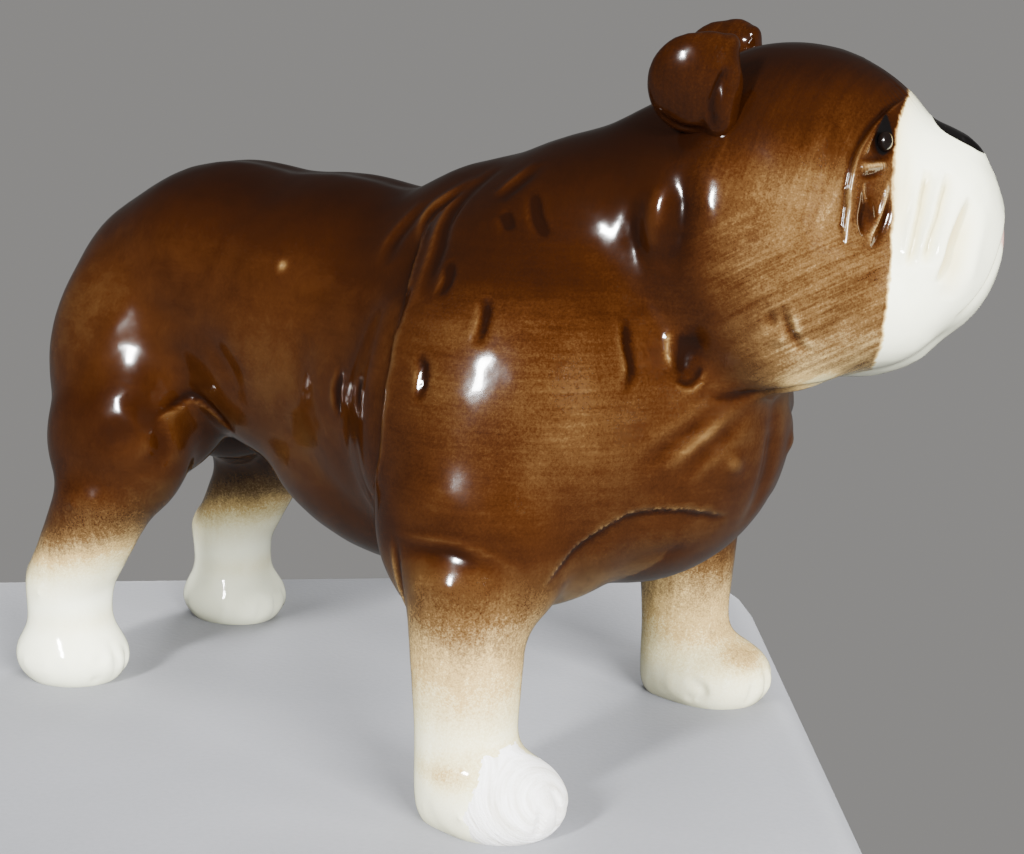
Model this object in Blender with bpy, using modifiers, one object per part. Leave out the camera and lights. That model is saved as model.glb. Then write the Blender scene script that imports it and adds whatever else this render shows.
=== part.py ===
"""Standing bulldog figurine: slip-cast earthenware castings luted together, glazed brown and cream.

The clay is built as a sculptor would: lumps on an armature, fused and smoothed into one skin.
A smaller copy of the same lumps is the hollow core. Flat lute planes then part the skin into the
castings, each with the clearance GAP to its neighbour.

X runs forward, Y to the dog's left, Z up. The origin is on the ground under the middle of the
figure's box. All sizes are in metres.
"""
import bpy
from math import radians
from mathutils import Euler, Matrix, Vector

# Stance
HIP_X = -0.0700             # centre of the rump
TRUNK = 0.096               # hip centre to shoulder centre
SHOULDER_Z = 0.070          # height of the shoulder centre
FRONT_TRACK = 0.082         # between the front legs' centre lines
HIND_TRACK = 0.052          # between the hind legs' centre lines

# Body
CHEST_WIDTH = 0.068         # across the rib cage, inside the shoulders
CHEST_DEPTH = 0.070
LOIN_WIDTH = 0.050
RUMP_RADIUS = 0.024
NECK_WIDTH = 0.054

# Legs
FRONT_LEG_RADIUS = 0.0093
HIND_LEG_RADIUS = 0.0090
LEG_TAPER = 0.075           # growth of a leg's radius for each metre climbed
TAPER_START = 0.0155        # height above which a leg grows
PAW_LENGTH = 0.0265
PAW_WIDTH = 0.0235
PAW_HEIGHT = 0.0132
PAW_HALF_HEIGHT = 0.0084    # of the whole oval, part of which is below the ground

# Head, in its own axes
HEAD_LENGTH = 0.0655
HEAD_WIDTH = 0.058
HEAD_HEIGHT = 0.0595
HEAD_FORWARD = 0.0355       # head centre, ahead of the shoulder centre
HEAD_ASIDE = 0.009
HEAD_RISE = 0.0345          # head centre, above the shoulder centre
HEAD_TURN = 20              # degrees to the dog's left
EAR_WIDTH = 0.0164
EAR_HEIGHT = 0.0188
EAR_THICKNESS = 0.0100

# Tail
TAIL_LENGTH = 0.012
TAIL_RADIUS = 0.0045

# Casting
WALL = 0.004
GAP = 0.0003                # clearance between neighbouring castings
VENT_RADIUS = 0.0028        # hole in the belly that lets the kiln air out
PAW_SOLID = 0.013           # height to which the paws are filled clay

# Skin
VOXEL = 0.0018
SMOOTHING = 14
SKIN_DETAIL = 0.085         # share of the faces kept on the outer skin
CORE_DETAIL = 0.05

SHOULDER_X = HIP_X + TRUNK
RIGHT, LEFT = -1, 1


def along(share):
    """X at a share of the way from the hip to the shoulder."""
    return HIP_X + share * TRUNK


# ---------------------------------------------------------------- scene helpers

for old in list(bpy.data.objects):
    bpy.data.objects.remove(old, do_unlink=True)

figurine = bpy.data.collections.new("bulldog_figurine")
bpy.context.scene.collection.children.link(figurine)


def activate(obj):
    bpy.ops.object.select_all(action="DESELECT")
    obj.select_set(True)
    bpy.context.view_layer.objects.active = obj


def apply_modifiers(obj):
    activate(obj)
    for modifier in list(obj.modifiers):
        bpy.ops.object.modifier_apply(modifier=modifier.name)


def duplicate(obj, name):
    copy = obj.copy()
    copy.data = obj.data.copy()
    copy.name = name
    bpy.context.scene.collection.objects.link(copy)
    return copy


def remove(obj):
    bpy.data.objects.remove(obj, do_unlink=True)


def boolean(obj, cutter, operation):
    modifier = obj.modifiers.new("cut", "BOOLEAN")
    modifier.operation = operation
    modifier.object = cutter
    modifier.solver = "EXACT"
    apply_modifiers(obj)


def half_space(point, normal, size=0.4):
    """A large block that fills the side of a plane to which normal points."""
    normal = Vector(normal).normalized()
    bpy.ops.mesh.primitive_cube_add(size=size)
    block = bpy.context.object
    turn = normal.to_track_quat("Z", "Y").to_matrix().to_4x4()
    block.data.transform(Matrix.Translation(Vector(point) + normal * size / 2) @ turn)
    return block


def material(name, colour, roughness):
    made = bpy.data.materials.new(name)
    made.use_nodes = True
    shader = made.node_tree.nodes["Principled BSDF"]
    shader.inputs["Base Color"].default_value = (*colour, 1)
    shader.inputs["Roughness"].default_value = roughness
    shader.inputs["Metallic"].default_value = 0
    return made


# ---------------------------------------------------------------- clay

class Clay:
    """A list of ellipsoid lumps: centre, radii and tilt in degrees about X, Y and Z."""

    def __init__(self):
        self.lumps = []

    def add(self, centre, radii, tilt=(0, 0, 0)):
        turn = Euler([radians(angle) for angle in tilt]).to_matrix().to_4x4()
        self.lumps.append((Matrix.Translation(centre) @ turn, Vector(radii)))

    def pair(self, centre, radii, tilt=(0, 0, 0)):
        """One lump on the left at the given place and its twin on the right."""
        x, y, z = centre
        about_x, about_y, about_z = tilt
        self.add((x, y, z), radii, tilt)
        self.add((x, -y, z), radii, (-about_x, about_y, -about_z))

    def moved(self, frame):
        placed = Clay()
        placed.lumps = [(frame @ place, radii) for place, radii in self.lumps]
        return placed

    def fused(self, name, detail, shrink=0.0, voxel=VOXEL, smoothing=SMOOTHING):
        """One smooth closed skin round all the lumps, each made smaller by shrink."""
        spheres = []
        for place, radii in self.lumps:
            inner = radii - Vector((shrink, shrink, shrink))
            if min(inner) < voxel:
                continue
            bpy.ops.mesh.primitive_uv_sphere_add(segments=24, ring_count=14, radius=1)
            sphere = bpy.context.object
            sphere.data.transform(place @ Matrix.Diagonal((*inner, 1)))
            spheres.append(sphere)
        activate(spheres[0])
        for sphere in spheres:
            sphere.select_set(True)
        bpy.ops.object.join()
        skin = bpy.context.object
        skin.name = name
        remesh = skin.modifiers.new("fuse", "REMESH")
        remesh.mode = "VOXEL"
        remesh.voxel_size = voxel
        smooth = skin.modifiers.new("smooth", "SMOOTH")
        smooth.factor = 0.5
        smooth.iterations = smoothing
        thin = skin.modifiers.new("thin", "DECIMATE")
        thin.ratio = detail
        apply_modifiers(skin)
        return skin


def body_clay():
    """Trunk and neck."""
    clay = Clay()
    half_chest = CHEST_WIDTH / 2
    half_depth = CHEST_DEPTH / 2
    half_loin = LOIN_WIDTH / 2
    half_neck = NECK_WIDTH / 2
    z = SHOULDER_Z
    clay.add((along(0.77), 0, z - 0.001), (0.040, half_chest, half_depth))
    clay.add((SHOULDER_X + 0.0105, 0, z - 0.003), (0.0292, half_chest - 0.001, half_depth - 0.003))
    blade = (SHOULDER_X - 0.002, half_chest - 0.014, z - 0.004)
    clay.pair(blade, (0.031, 0.026, half_depth - 0.001), (-5, 0, 0))
    clay.add((along(0.62), 0, z - 0.013), (0.37 * TRUNK, half_loin + 0.001, 0.026), (0, 10, 0))
    clay.add((along(0.43), 0, z + 0.006), (0.41 * TRUNK, half_loin + 0.003, 0.031))
    clay.add((along(0.17), 0, z + 0.013), (0.33 * TRUNK, half_loin, 0.025))
    clay.add((HIP_X, 0, z + 0.007), (RUMP_RADIUS + 0.0005, RUMP_RADIUS - 0.001, RUMP_RADIUS))
    clay.pair((HIP_X, HIND_TRACK / 4, z - 0.004), (0.022, 0.016, 0.026), (0, 0, -8))
    clay.add((along(0.83), 0, z + 0.020), (0.029, half_neck - 0.004, 0.022), (0, -15, 0))
    clay.pair((SHOULDER_X - 0.004, 0.014, z + 0.014), (0.028, half_neck - 0.008, 0.024), (0, -12, 0))
    clay.add((SHOULDER_X + 0.004, 0, z + 0.023), (0.024, half_neck, 0.025), (0, -30, 0))
    clay.add((SHOULDER_X + 0.018, 0.002, z + 0.031), (0.020, half_neck - 0.004, 0.023))
    return clay


def leg_column(clay, stations, y, radius):
    """A stack of short lumps up both legs; stations are (x, z) from the ground up."""
    for x, z in stations:
        grown = radius + LEG_TAPER * max(z - TAPER_START, 0)
        clay.pair((x, y, z), (grown, grown, STACK_HALF_HEIGHT))


FRONT_LEG_X = SHOULDER_X + 0.0026
FRONT_LEG_TOP = SHOULDER_Z - 0.027
HIND_LEG_TOP = SHOULDER_Z - 0.029
STACK_STEP = 0.005          # between the lumps of a leg
STACK_HALF_HEIGHT = 0.007   # of each lump, so that neighbours overlap
HOCK_Z = 0.020
HOCK_LEAN = 0.55            # how far forward the hind leg runs for each metre above the hock
FRONT_PAW_X = FRONT_LEG_X + 0.0068
HIND_PAW_X = HIP_X - 0.010


def leg_clay():
    clay = Clay()
    y = FRONT_TRACK / 2
    clay.pair((SHOULDER_X, y - 0.005, SHOULDER_Z - 0.020), (0.019, 0.013, 0.020), (-6, 0, 0))
    steps = round(FRONT_LEG_TOP / STACK_STEP)
    stations = [(FRONT_LEG_X, 0.003 + step * STACK_STEP) for step in range(steps)]
    leg_column(clay, stations, y, FRONT_LEG_RADIUS)

    y = HIND_TRACK / 2
    clay.pair((HIP_X + 0.002, y - 0.003, SHOULDER_Z - 0.018), (0.017, 0.012, 0.019), (0, 18, 0))
    steps = round(HIND_LEG_TOP / STACK_STEP)
    stations = []
    for step in range(steps):
        z = 0.005 + step * STACK_STEP
        lean = HOCK_LEAN * max(z - HOCK_Z, 0)
        stations.append((HIND_PAW_X + lean, z))
    leg_column(clay, stations, y, HIND_LEG_RADIUS)
    clay.pair((HIND_PAW_X - HIND_LEG_RADIUS + 0.002, y, HOCK_Z), (0.004, 0.005, 0.006))
    return clay


def paw_clay():
    """Each paw is an oval whose lower part the ground cuts off flat."""
    clay = Clay()
    tall = PAW_HALF_HEIGHT
    front = (PAW_LENGTH / 2, PAW_WIDTH / 2, tall)
    clay.pair((FRONT_PAW_X, FRONT_TRACK / 2, PAW_HEIGHT - tall), front)
    hind = (PAW_LENGTH / 2 - 0.0003, PAW_WIDTH / 2 - 0.0004, tall - 0.0004)
    clay.pair((HIND_PAW_X + 0.0005, HIND_TRACK / 2, PAW_HEIGHT - tall - 0.0002), hind)
    return clay


def head_clay():
    """Skull, cheeks, brow, muzzle, flews and jaw, in the head's own axes."""
    clay = Clay()
    reach = HEAD_LENGTH / 2
    half = HEAD_WIDTH / 2
    tall = HEAD_HEIGHT / 2
    clay.add((0, 0, 0.003), (reach - 0.0047, half - 0.003, tall - 0.003))
    clay.pair((-0.002, half - 0.015, -0.009), (0.023, 0.015, tall - 0.008))
    clay.pair((-0.010, half - 0.014, -0.002), (0.018, 0.0135, tall - 0.0118))
    clay.add((reach - 0.0088, 0, -0.003), (0.0135, half - 0.010, tall - 0.0108))
    clay.add((0.0105, 0, -tall + 0.0102), (0.0175, 0.017, 0.0095))
    clay.add((0.009, 0, tall - 0.016), (0.014, half - 0.010, 0.012))
    clay.pair((reach - 0.0113, 0.010, -0.0065), (0.0130, 0.011, tall - 0.0163))
    clay.pair((0.013, 0.0125, -0.013), (0.016, 0.012, 0.0125))
    return clay


def joined(*clays):
    whole = Clay()
    for clay in clays:
        whole.lumps += clay.lumps
    return whole


head_frame = (
    Matrix.Translation((SHOULDER_X + HEAD_FORWARD, HEAD_ASIDE, SHOULDER_Z + HEAD_RISE))
    @ Matrix.Rotation(radians(HEAD_TURN), 4, "Z")
)

# ---------------------------------------------------------------- skin and core

head_lumps = head_clay().moved(head_frame)
skin = joined(body_clay(), leg_clay(), paw_clay(), head_lumps).fused("skin", SKIN_DETAIL)
ground = half_space((0, 0, 0), (0, 0, -1))
boolean(skin, ground, "DIFFERENCE")
remove(ground)

core = joined(body_clay(), leg_clay(), head_lumps).fused("core", CORE_DETAIL, WALL)
paw_floor = half_space((0, 0, PAW_SOLID), (0, 0, -1))
boolean(core, paw_floor, "DIFFERENCE")
remove(paw_floor)

shell = duplicate(skin, "shell")
boolean(shell, core, "DIFFERENCE")
remove(core)

# ---------------------------------------------------------------- lute planes

FRONT_LUTE_Z = SHOULDER_Z - 0.029       # the seam's height on the leg's centre line
HIND_LUTE_Z = SHOULDER_Z - 0.033
LEG_LUTE_SLOPE = 0.73                   # the leg seams drop this much per metre towards the belly
NECK_LUTE = (SHOULDER_X + 0.014, 0, SHOULDER_Z + 0.055)
NECK_NORMAL = (0.858, 0.182, 0.48)      # up and forward, behind the ears and under the jowls
PAW_BREAK = (FRONT_PAW_X + 0.0030, -FRONT_TRACK / 2, PAW_HEIGHT / 2)
PAW_BREAK_NORMAL = (0.97, -0.20, -0.12)
LEG_BLOCK = 0.08                        # a cutter that reaches one leg and not its neighbours
HEAD_BLOCK = 0.20
PAW_BLOCK = 0.04


def part_off(source, name, point, normal, size):
    """Take the side of a plane to which normal points as a piece, and cut it from source."""
    normal = Vector(normal).normalized()
    block = half_space(Vector(point) + normal * GAP / 2, normal, size)
    piece = duplicate(source, name)
    boolean(piece, block, "INTERSECT")
    remove(block)
    block = half_space(Vector(point) - normal * GAP / 2, normal, size)
    boolean(source, block, "DIFFERENCE")
    remove(block)
    return piece


def part_off_legs(source, name, x, track, lute_z):
    legs = []
    for side_name, side in (("right", RIGHT), ("left", LEFT)):
        point = (x, side * track / 2, lute_z)
        normal = (0, side * LEG_LUTE_SLOPE, -1)
        legs.append(part_off(source, f"{side_name}_{name}", point, normal, LEG_BLOCK))
    return legs


front_legs = part_off_legs(shell, "front_leg", FRONT_LEG_X, FRONT_TRACK, FRONT_LUTE_Z)
hind_legs = part_off_legs(shell, "hind_leg", HIP_X, HIND_TRACK, HIND_LUTE_Z)
head = part_off(shell, "head", NECK_LUTE, NECK_NORMAL, HEAD_BLOCK)
paw_fill = part_off(front_legs[0], "paw_fill", PAW_BREAK, PAW_BREAK_NORMAL, PAW_BLOCK)
torso = shell
torso.name = "torso"

bpy.ops.mesh.primitive_cylinder_add(
    vertices=24, radius=VENT_RADIUS, depth=SHOULDER_Z, location=(along(0.35), 0, SHOULDER_Z / 2)
)
vent = bpy.context.object
boolean(torso, vent, "DIFFERENCE")
remove(vent)

# ---------------------------------------------------------------- pieces stuck on the skin

skin_clear = skin
clearance = skin_clear.modifiers.new("clearance", "DISPLACE")
clearance.strength = GAP
clearance.mid_level = 0
apply_modifiers(skin_clear)


STICK_VOXEL = 0.0009
STICK_SMOOTHING = 4
STICK_DETAIL = 0.12


def stuck_on(clay, name):
    """A small solid piece, trimmed to sit on the skin."""
    piece = clay.fused(name, STICK_DETAIL, voxel=STICK_VOXEL, smoothing=STICK_SMOOTHING)
    boolean(piece, skin_clear, "DIFFERENCE")
    return piece


def ear(name, side, forward, rise):
    """A thick button ear: a rounded flap with its tip folded forward."""
    clay = Clay()
    half = Vector((EAR_WIDTH, EAR_THICKNESS, EAR_HEIGHT)) / 2
    outward = HEAD_WIDTH / 2 - half.y - 0.004
    tilt = (side * -15, 0, 0)
    clay.add((forward, side * outward, rise), half, tilt)
    tip = (forward + 0.0034, side * outward, rise + 0.0022)
    clay.add(tip, (0.66 * half.x, 0.88 * half.y, 0.81 * half.z), tilt)
    lobe = (forward + 0.0030, side * (outward + 0.0004), rise - 0.0036)
    clay.add(lobe, (0.66 * half.x, 0.88 * half.y, 0.60 * half.z), tilt)
    return stuck_on(clay.moved(head_frame), name)


right_ear = ear("right_ear", RIGHT, -0.0150, HEAD_HEIGHT / 2 - 0.0076)
left_ear = ear("left_ear", LEFT, -0.0145, HEAD_HEIGHT / 2 - 0.0066)

TAIL_ROOT = Vector((HIP_X - RUMP_RADIUS + 0.0002, 0.003, SHOULDER_Z + 0.015))
TAIL_LUMPS = 5


def tail_clay():
    """A short tail that drops from the rump and hooks to the left."""
    clay = Clay()
    for step in range(TAIL_LUMPS):
        share = step / (TAIL_LUMPS - 1)
        radius = TAIL_RADIUS * (1 - 0.35 * share)
        centre = TAIL_ROOT + TAIL_LENGTH * Vector((-0.04 * share, 0.25 * share ** 2, -share))
        clay.add(centre, (radius, radius, radius))
    return clay


tail = stuck_on(tail_clay(), "tail")
remove(skin_clear)

# ---------------------------------------------------------------- colours and placing

brown_glaze = material("brown_glaze", (0.19, 0.08, 0.02), 0.12)
leg_glaze = material("brown_to_cream_glaze", (0.75, 0.68, 0.50), 0.12)
filler = material("white_filler", (0.86, 0.86, 0.83), 0.85)

looks = {
    brown_glaze: [torso, head, right_ear, left_ear, tail],
    leg_glaze: front_legs + hind_legs,
    filler: [paw_fill],
}
for look, pieces in looks.items():
    for piece in pieces:
        piece.data.materials.clear()
        piece.data.materials.append(look)
        piece.data.shade_flat()
        for collection in list(piece.users_collection):
            collection.objects.unlink(piece)
        figurine.objects.link(piece)
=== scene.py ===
import math
from functools import partial

import bmesh
import bpy
import numpy as np
from mathutils import Euler, Matrix, Vector, noise
from mathutils.bvhtree import BVHTree


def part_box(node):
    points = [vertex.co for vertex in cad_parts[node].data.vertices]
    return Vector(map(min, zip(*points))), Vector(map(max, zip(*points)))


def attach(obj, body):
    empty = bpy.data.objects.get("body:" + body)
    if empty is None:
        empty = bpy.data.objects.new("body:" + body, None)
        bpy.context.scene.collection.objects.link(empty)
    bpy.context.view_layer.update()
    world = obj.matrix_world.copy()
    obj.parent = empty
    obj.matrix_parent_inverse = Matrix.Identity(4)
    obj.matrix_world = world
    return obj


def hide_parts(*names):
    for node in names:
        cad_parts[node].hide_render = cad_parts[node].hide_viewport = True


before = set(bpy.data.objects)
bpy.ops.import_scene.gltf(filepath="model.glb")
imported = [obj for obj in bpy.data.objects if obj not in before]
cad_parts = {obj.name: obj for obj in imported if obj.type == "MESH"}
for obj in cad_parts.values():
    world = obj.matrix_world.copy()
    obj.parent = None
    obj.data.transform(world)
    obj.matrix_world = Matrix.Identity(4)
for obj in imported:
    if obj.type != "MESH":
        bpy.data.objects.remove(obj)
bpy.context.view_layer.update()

RIGHT, LEFT = -1, 1
MM = 0.001

# Without a seed of its own, noise_vector differs from run to run
noise.seed_set(1)


# ------------------------------------------------------------------ places, from the frame

def box_of(node):
    low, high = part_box(node)
    return Vector(low), Vector(high)


_, front_high = box_of("left_front_leg")
hind_low, hind_high = box_of("left_hind_leg")
_, head_high = box_of("head")

# Centres of the joints between castings, each a fixed way in from a side of a CAD node's box
SHOULDER_X = front_high.x - 0.0217
SHOULDER_Z = front_high.z + 0.0226
HIP_X = hind_low.x + 0.0217
TRUNK = SHOULDER_X - HIP_X
FRONT_TRACK = 2 * (front_high.y - 0.0112)
HIND_TRACK = 2 * (hind_high.y - 0.0106)
FRONT_LEG_X = SHOULDER_X + 0.0026
FRONT_PAW_X = FRONT_LEG_X + 0.0068
HIND_PAW_X = HIP_X - 0.010
HOCK_Z = 0.020
HEAD_TURN = math.radians(20)
HEAD_CENTRE = Vector((head_high.x - 0.0360, head_high.y - 0.0283, head_high.z - 0.0294))
head_frame = Matrix.Translation(HEAD_CENTRE) @ Matrix.Rotation(HEAD_TURN, 4, "Z")

# Lute planes between the castings: a point and a normal that points into the smaller casting
FRONT_LUTE_Z = SHOULDER_Z - 0.029
HIND_LUTE_Z = SHOULDER_Z - 0.033
LEG_LUTE_SLOPE = 0.73
NECK_LUTE = Vector((SHOULDER_X + 0.014, 0, SHOULDER_Z + 0.055))
NECK_NORMAL = Vector((0.858, 0.182, 0.48)).normalized()

# Plane along which the front of the right front paw was broken off
PAW_BREAK = Vector((FRONT_PAW_X + 0.0034, -FRONT_TRACK / 2, 0.0066))
PAW_BREAK_NORMAL = Vector((0.96, -0.22, 0.12)).normalized()


def along(share):
    """X at a share of the way from the hip to the shoulder."""
    return HIP_X + share * TRUNK


# ------------------------------------------------------------------ object helpers

def deselect():
    bpy.ops.object.select_all(action="DESELECT")


def activate(obj):
    deselect()
    obj.select_set(True)
    bpy.context.view_layer.objects.active = obj


def apply_all(obj):
    activate(obj)
    for modifier in list(obj.modifiers):
        bpy.ops.object.modifier_apply(modifier=modifier.name)


def subdivide_once(obj):
    finer = obj.modifiers.new("finer", "SUBSURF")
    finer.levels = 1
    finer.render_levels = 1
    apply_all(obj)


def shade_smooth(mesh):
    mesh.polygons.foreach_set("use_smooth", [True] * len(mesh.polygons))


# ------------------------------------------------------------------ clay

BODY_VOXEL = 0.0016
SMALL_VOXEL = 0.0007
SMOOTH_FACTOR = 0.5
FRONT_LEG_RADIUS = 0.0093
HIND_LEG_RADIUS = 0.0090

class Clay:
    """Ellipsoid lumps on an armature: centre, radii and tilt in degrees about X, Y and Z."""

    def __init__(self):
        self.lumps = []

    def add(self, centre, radii, tilt=(0, 0, 0)):
        turn = Euler([math.radians(angle) for angle in tilt]).to_matrix().to_4x4()
        place = Matrix.Translation(centre) @ turn @ Matrix.Diagonal((*radii, 1))
        self.lumps.append(place)

    def pair(self, centre, radii, tilt=(0, 0, 0)):
        """A lump on the left at the given place, and its twin on the right."""
        x, y, z = centre
        self.add((x, y, z), radii, tilt)
        self.add((x, -y, z), radii, (-tilt[0], tilt[1], -tilt[2]))

    def moved(self, place):
        self.lumps = [place @ lump for lump in self.lumps]
        return self

    def fused(self, name, voxel, smoothing):
        deselect()
        spheres = []
        for lump in self.lumps:
            bpy.ops.mesh.primitive_uv_sphere_add(segments=32, ring_count=18, radius=1)
            sphere = bpy.context.object
            sphere.data.transform(lump)
            spheres.append(sphere)
        deselect()
        for sphere in spheres:
            sphere.select_set(True)
        bpy.context.view_layer.objects.active = spheres[0]
        bpy.ops.object.join()
        skin = bpy.context.object
        skin.name = name
        remesh = skin.modifiers.new("fuse", "REMESH")
        remesh.mode = "VOXEL"
        remesh.voxel_size = voxel
        smooth = skin.modifiers.new("smooth", "SMOOTH")
        smooth.factor = SMOOTH_FACTOR
        smooth.iterations = smoothing
        apply_all(skin)
        return skin


def trunk_clay(clay):
    z = SHOULDER_Z
    clay.add((along(0.77), 0, z - 0.001), (0.040, 0.034, 0.035))
    clay.add((SHOULDER_X + 0.0105, 0, z - 0.003), (0.0292, 0.033, 0.032))
    clay.pair((SHOULDER_X - 0.002, 0.020, z - 0.004), (0.031, 0.026, 0.034), (-5, 0, 0))
    clay.add((along(0.62), 0, z - 0.013), (0.036, 0.026, 0.026), (0, 10, 0))
    clay.add((along(0.43), 0, z + 0.006), (0.040, 0.028, 0.031))
    clay.add((along(0.17), 0, z + 0.013), (0.032, 0.025, 0.025))
    clay.add((HIP_X, 0, z + 0.007), (0.0245, 0.023, 0.024))
    clay.pair((HIP_X, 0.013, z - 0.004), (0.022, 0.016, 0.026), (0, 0, -8))
    clay.add((along(0.83), 0, z + 0.020), (0.029, 0.023, 0.022), (0, -15, 0))
    clay.pair((SHOULDER_X - 0.004, 0.014, z + 0.014), (0.028, 0.019, 0.024), (0, -12, 0))
    clay.add((SHOULDER_X + 0.004, 0, z + 0.023), (0.024, 0.027, 0.025), (0, -30, 0))
    clay.add((SHOULDER_X + 0.018, 0.002, z + 0.031), (0.020, 0.023, 0.023))


def leg_column(clay, stations, y, radius):
    for x, z in stations:
        grown = radius + 0.075 * max(z - 0.0155, 0)
        clay.pair((x, y, z), (grown, grown, 0.007))


def limb_clay(clay):
    step = 0.005
    y = FRONT_TRACK / 2
    clay.pair((SHOULDER_X, y - 0.005, SHOULDER_Z - 0.020), (0.019, 0.013, 0.020), (-6, 0, 0))
    rungs = round((SHOULDER_Z - 0.027) / step)
    leg_column(clay, [(FRONT_LEG_X, 0.003 + i * step) for i in range(rungs)], y, FRONT_LEG_RADIUS)
    clay.pair((FRONT_PAW_X, y, 0.0048), (0.0133, 0.0119, 0.0084))

    y = HIND_TRACK / 2
    clay.pair((HIP_X + 0.002, y - 0.003, SHOULDER_Z - 0.018), (0.017, 0.012, 0.019), (0, 18, 0))
    rungs = round((SHOULDER_Z - 0.029) / step)
    stations = []
    for i in range(rungs):
        z = 0.005 + i * step
        stations.append((HIND_PAW_X + 0.55 * max(z - HOCK_Z, 0), z))
    leg_column(clay, stations, y, HIND_LEG_RADIUS)
    clay.pair((HIND_PAW_X - 0.007, y, HOCK_Z), (0.004, 0.005, 0.006))
    clay.pair((HIND_PAW_X + 0.0005, y, 0.0046), (0.0130, 0.0114, 0.0080))


def head_clay():
    clay = Clay()
    clay.add((0, 0, 0.003), (0.028, 0.026, 0.0265))
    clay.pair((-0.002, 0.014, -0.009), (0.023, 0.015, 0.0218))
    clay.pair((-0.010, 0.0150, -0.002), (0.018, 0.0135, 0.018))
    clay.add((0.024, 0, -0.003), (0.0135, 0.019, 0.0190))
    clay.add((0.0105, 0, -0.0195), (0.0175, 0.017, 0.0095))
    clay.add((0.009, 0, 0.014), (0.014, 0.019, 0.012))
    clay.pair((0.0215, 0.010, -0.0065), (0.0130, 0.011, 0.0135))
    clay.pair((0.013, 0.0125, -0.013), (0.016, 0.012, 0.0125))
    return clay.moved(head_frame)


def smooth_step(value, start, end):
    share = np.clip((value - start) / (end - start), 0, 1)
    return share * share * (3 - 2 * share)


def local(points, place):
    """Points in the millimetres of a placed frame."""
    inverse = np.array(place.inverted())
    return (points @ inverse[:3, :3].T + inverse[:3, 3]) / MM


class Surface:
    """A mesh's vertices, edges and normals as arrays."""

    def __init__(self, obj):
        self.obj = obj
        self.mesh = obj.data
        self.read()

    def read(self):
        count = len(self.mesh.vertices)
        flat = np.empty(count * 3)
        self.mesh.vertices.foreach_get("co", flat)
        self.co = flat.reshape(-1, 3).copy()
        self.mesh.vertices.foreach_get("normal", flat)
        self.normal = flat.reshape(-1, 3).copy()
        ends = np.empty(len(self.mesh.edges) * 2, dtype=np.int32)
        self.mesh.edges.foreach_get("vertices", ends)
        self.edges = ends.reshape(-1, 2)
        self.links = np.bincount(self.edges.ravel(), minlength=count)

    def write(self):
        self.mesh.vertices.foreach_set("co", self.co.ravel())
        self.mesh.update()

    def averaged(self, values):
        """The mean of each vertex's neighbours."""
        if values.ndim > 1:
            columns = [self.averaged(values[:, column]) for column in range(values.shape[1])]
            return np.stack(columns, axis=1)
        first, second = self.edges[:, 0], self.edges[:, 1]
        count = len(self.links)
        total = np.bincount(first, values[second], count) + np.bincount(second, values[first], count)
        return total / np.maximum(self.links, 1)

    def ease(self, weight, rounds):
        for _ in range(rounds):
            self.co += weight[:, None] * (self.averaged(self.co) - self.co)


def base_skin():
    clay = Clay()
    trunk_clay(clay)
    limb_clay(clay)
    clay.lumps += head_clay().lumps
    skin = clay.fused("skin", BODY_VOXEL, 16)
    surface = Surface(skin)
    behind_head = 1 - smooth_step(local(surface.co, head_frame)[:, 0], -17, -9)
    above_legs = smooth_step(surface.co[:, 2], SHOULDER_Z - 0.020, SHOULDER_Z + 0.010)
    surface.ease(0.6 * behind_head * above_legs, 34)
    surface.write()
    subdivide_once(skin)
    return skin


# ------------------------------------------------------------------ modelling strokes

BODY = Matrix.Identity(4)
# The directions across, up and into the figure that each view is drawn in
VIEWS = {
    "right": (Vector((1, 0, 0)), Vector((0, 0, 1)), Vector((0, 1, 0))),
    "left": (Vector((1, 0, 0)), Vector((0, 0, 1)), Vector((0, -1, 0))),
    "front": (Vector((0, 1, 0)), Vector((0, 0, 1)), Vector((-1, 0, 0))),
    "top": (Vector((1, 0, 0)), Vector((0, 1, 0)), Vector((0, 0, -1))),
    "under": (Vector((1, 0, 0)), Vector((0, 1, 0)), Vector((0, 0, 1))),
}
SIDES = (("right", RIGHT), ("left", LEFT))


def flowing(points, spacing):
    """A smooth line through the given 2D points."""
    points = [np.array(point, dtype=float) for point in points]
    ends = [2 * points[0] - points[1]] + points + [2 * points[-1] - points[-2]]
    line = []
    for before, start, end, after in zip(ends, ends[1:], ends[2:], ends[3:]):
        count = max(2, int(np.linalg.norm(end - start) / spacing))
        for step in range(count):
            t = step / count
            straight = (end - before) * t
            bend = (2 * before - 5 * start + 4 * end - after) * t ** 2
            twist = (3 * start - before - 3 * end + after) * t ** 3
            line.append(0.5 * (2 * start + straight + bend + twist))
    line.append(points[-1])
    return line


def unsteady(line, sway):
    """The same line drawn by hand, up to sway off its course."""
    moved = []
    for point in line:
        place = Vector((point[0], point[1], 0)) * 0.22
        shift = noise.noise_vector(place + Vector((7.3, 1.9, 4.1)))
        moved.append(point + sway * np.array((shift.x, shift.y)))
    return moved


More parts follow.
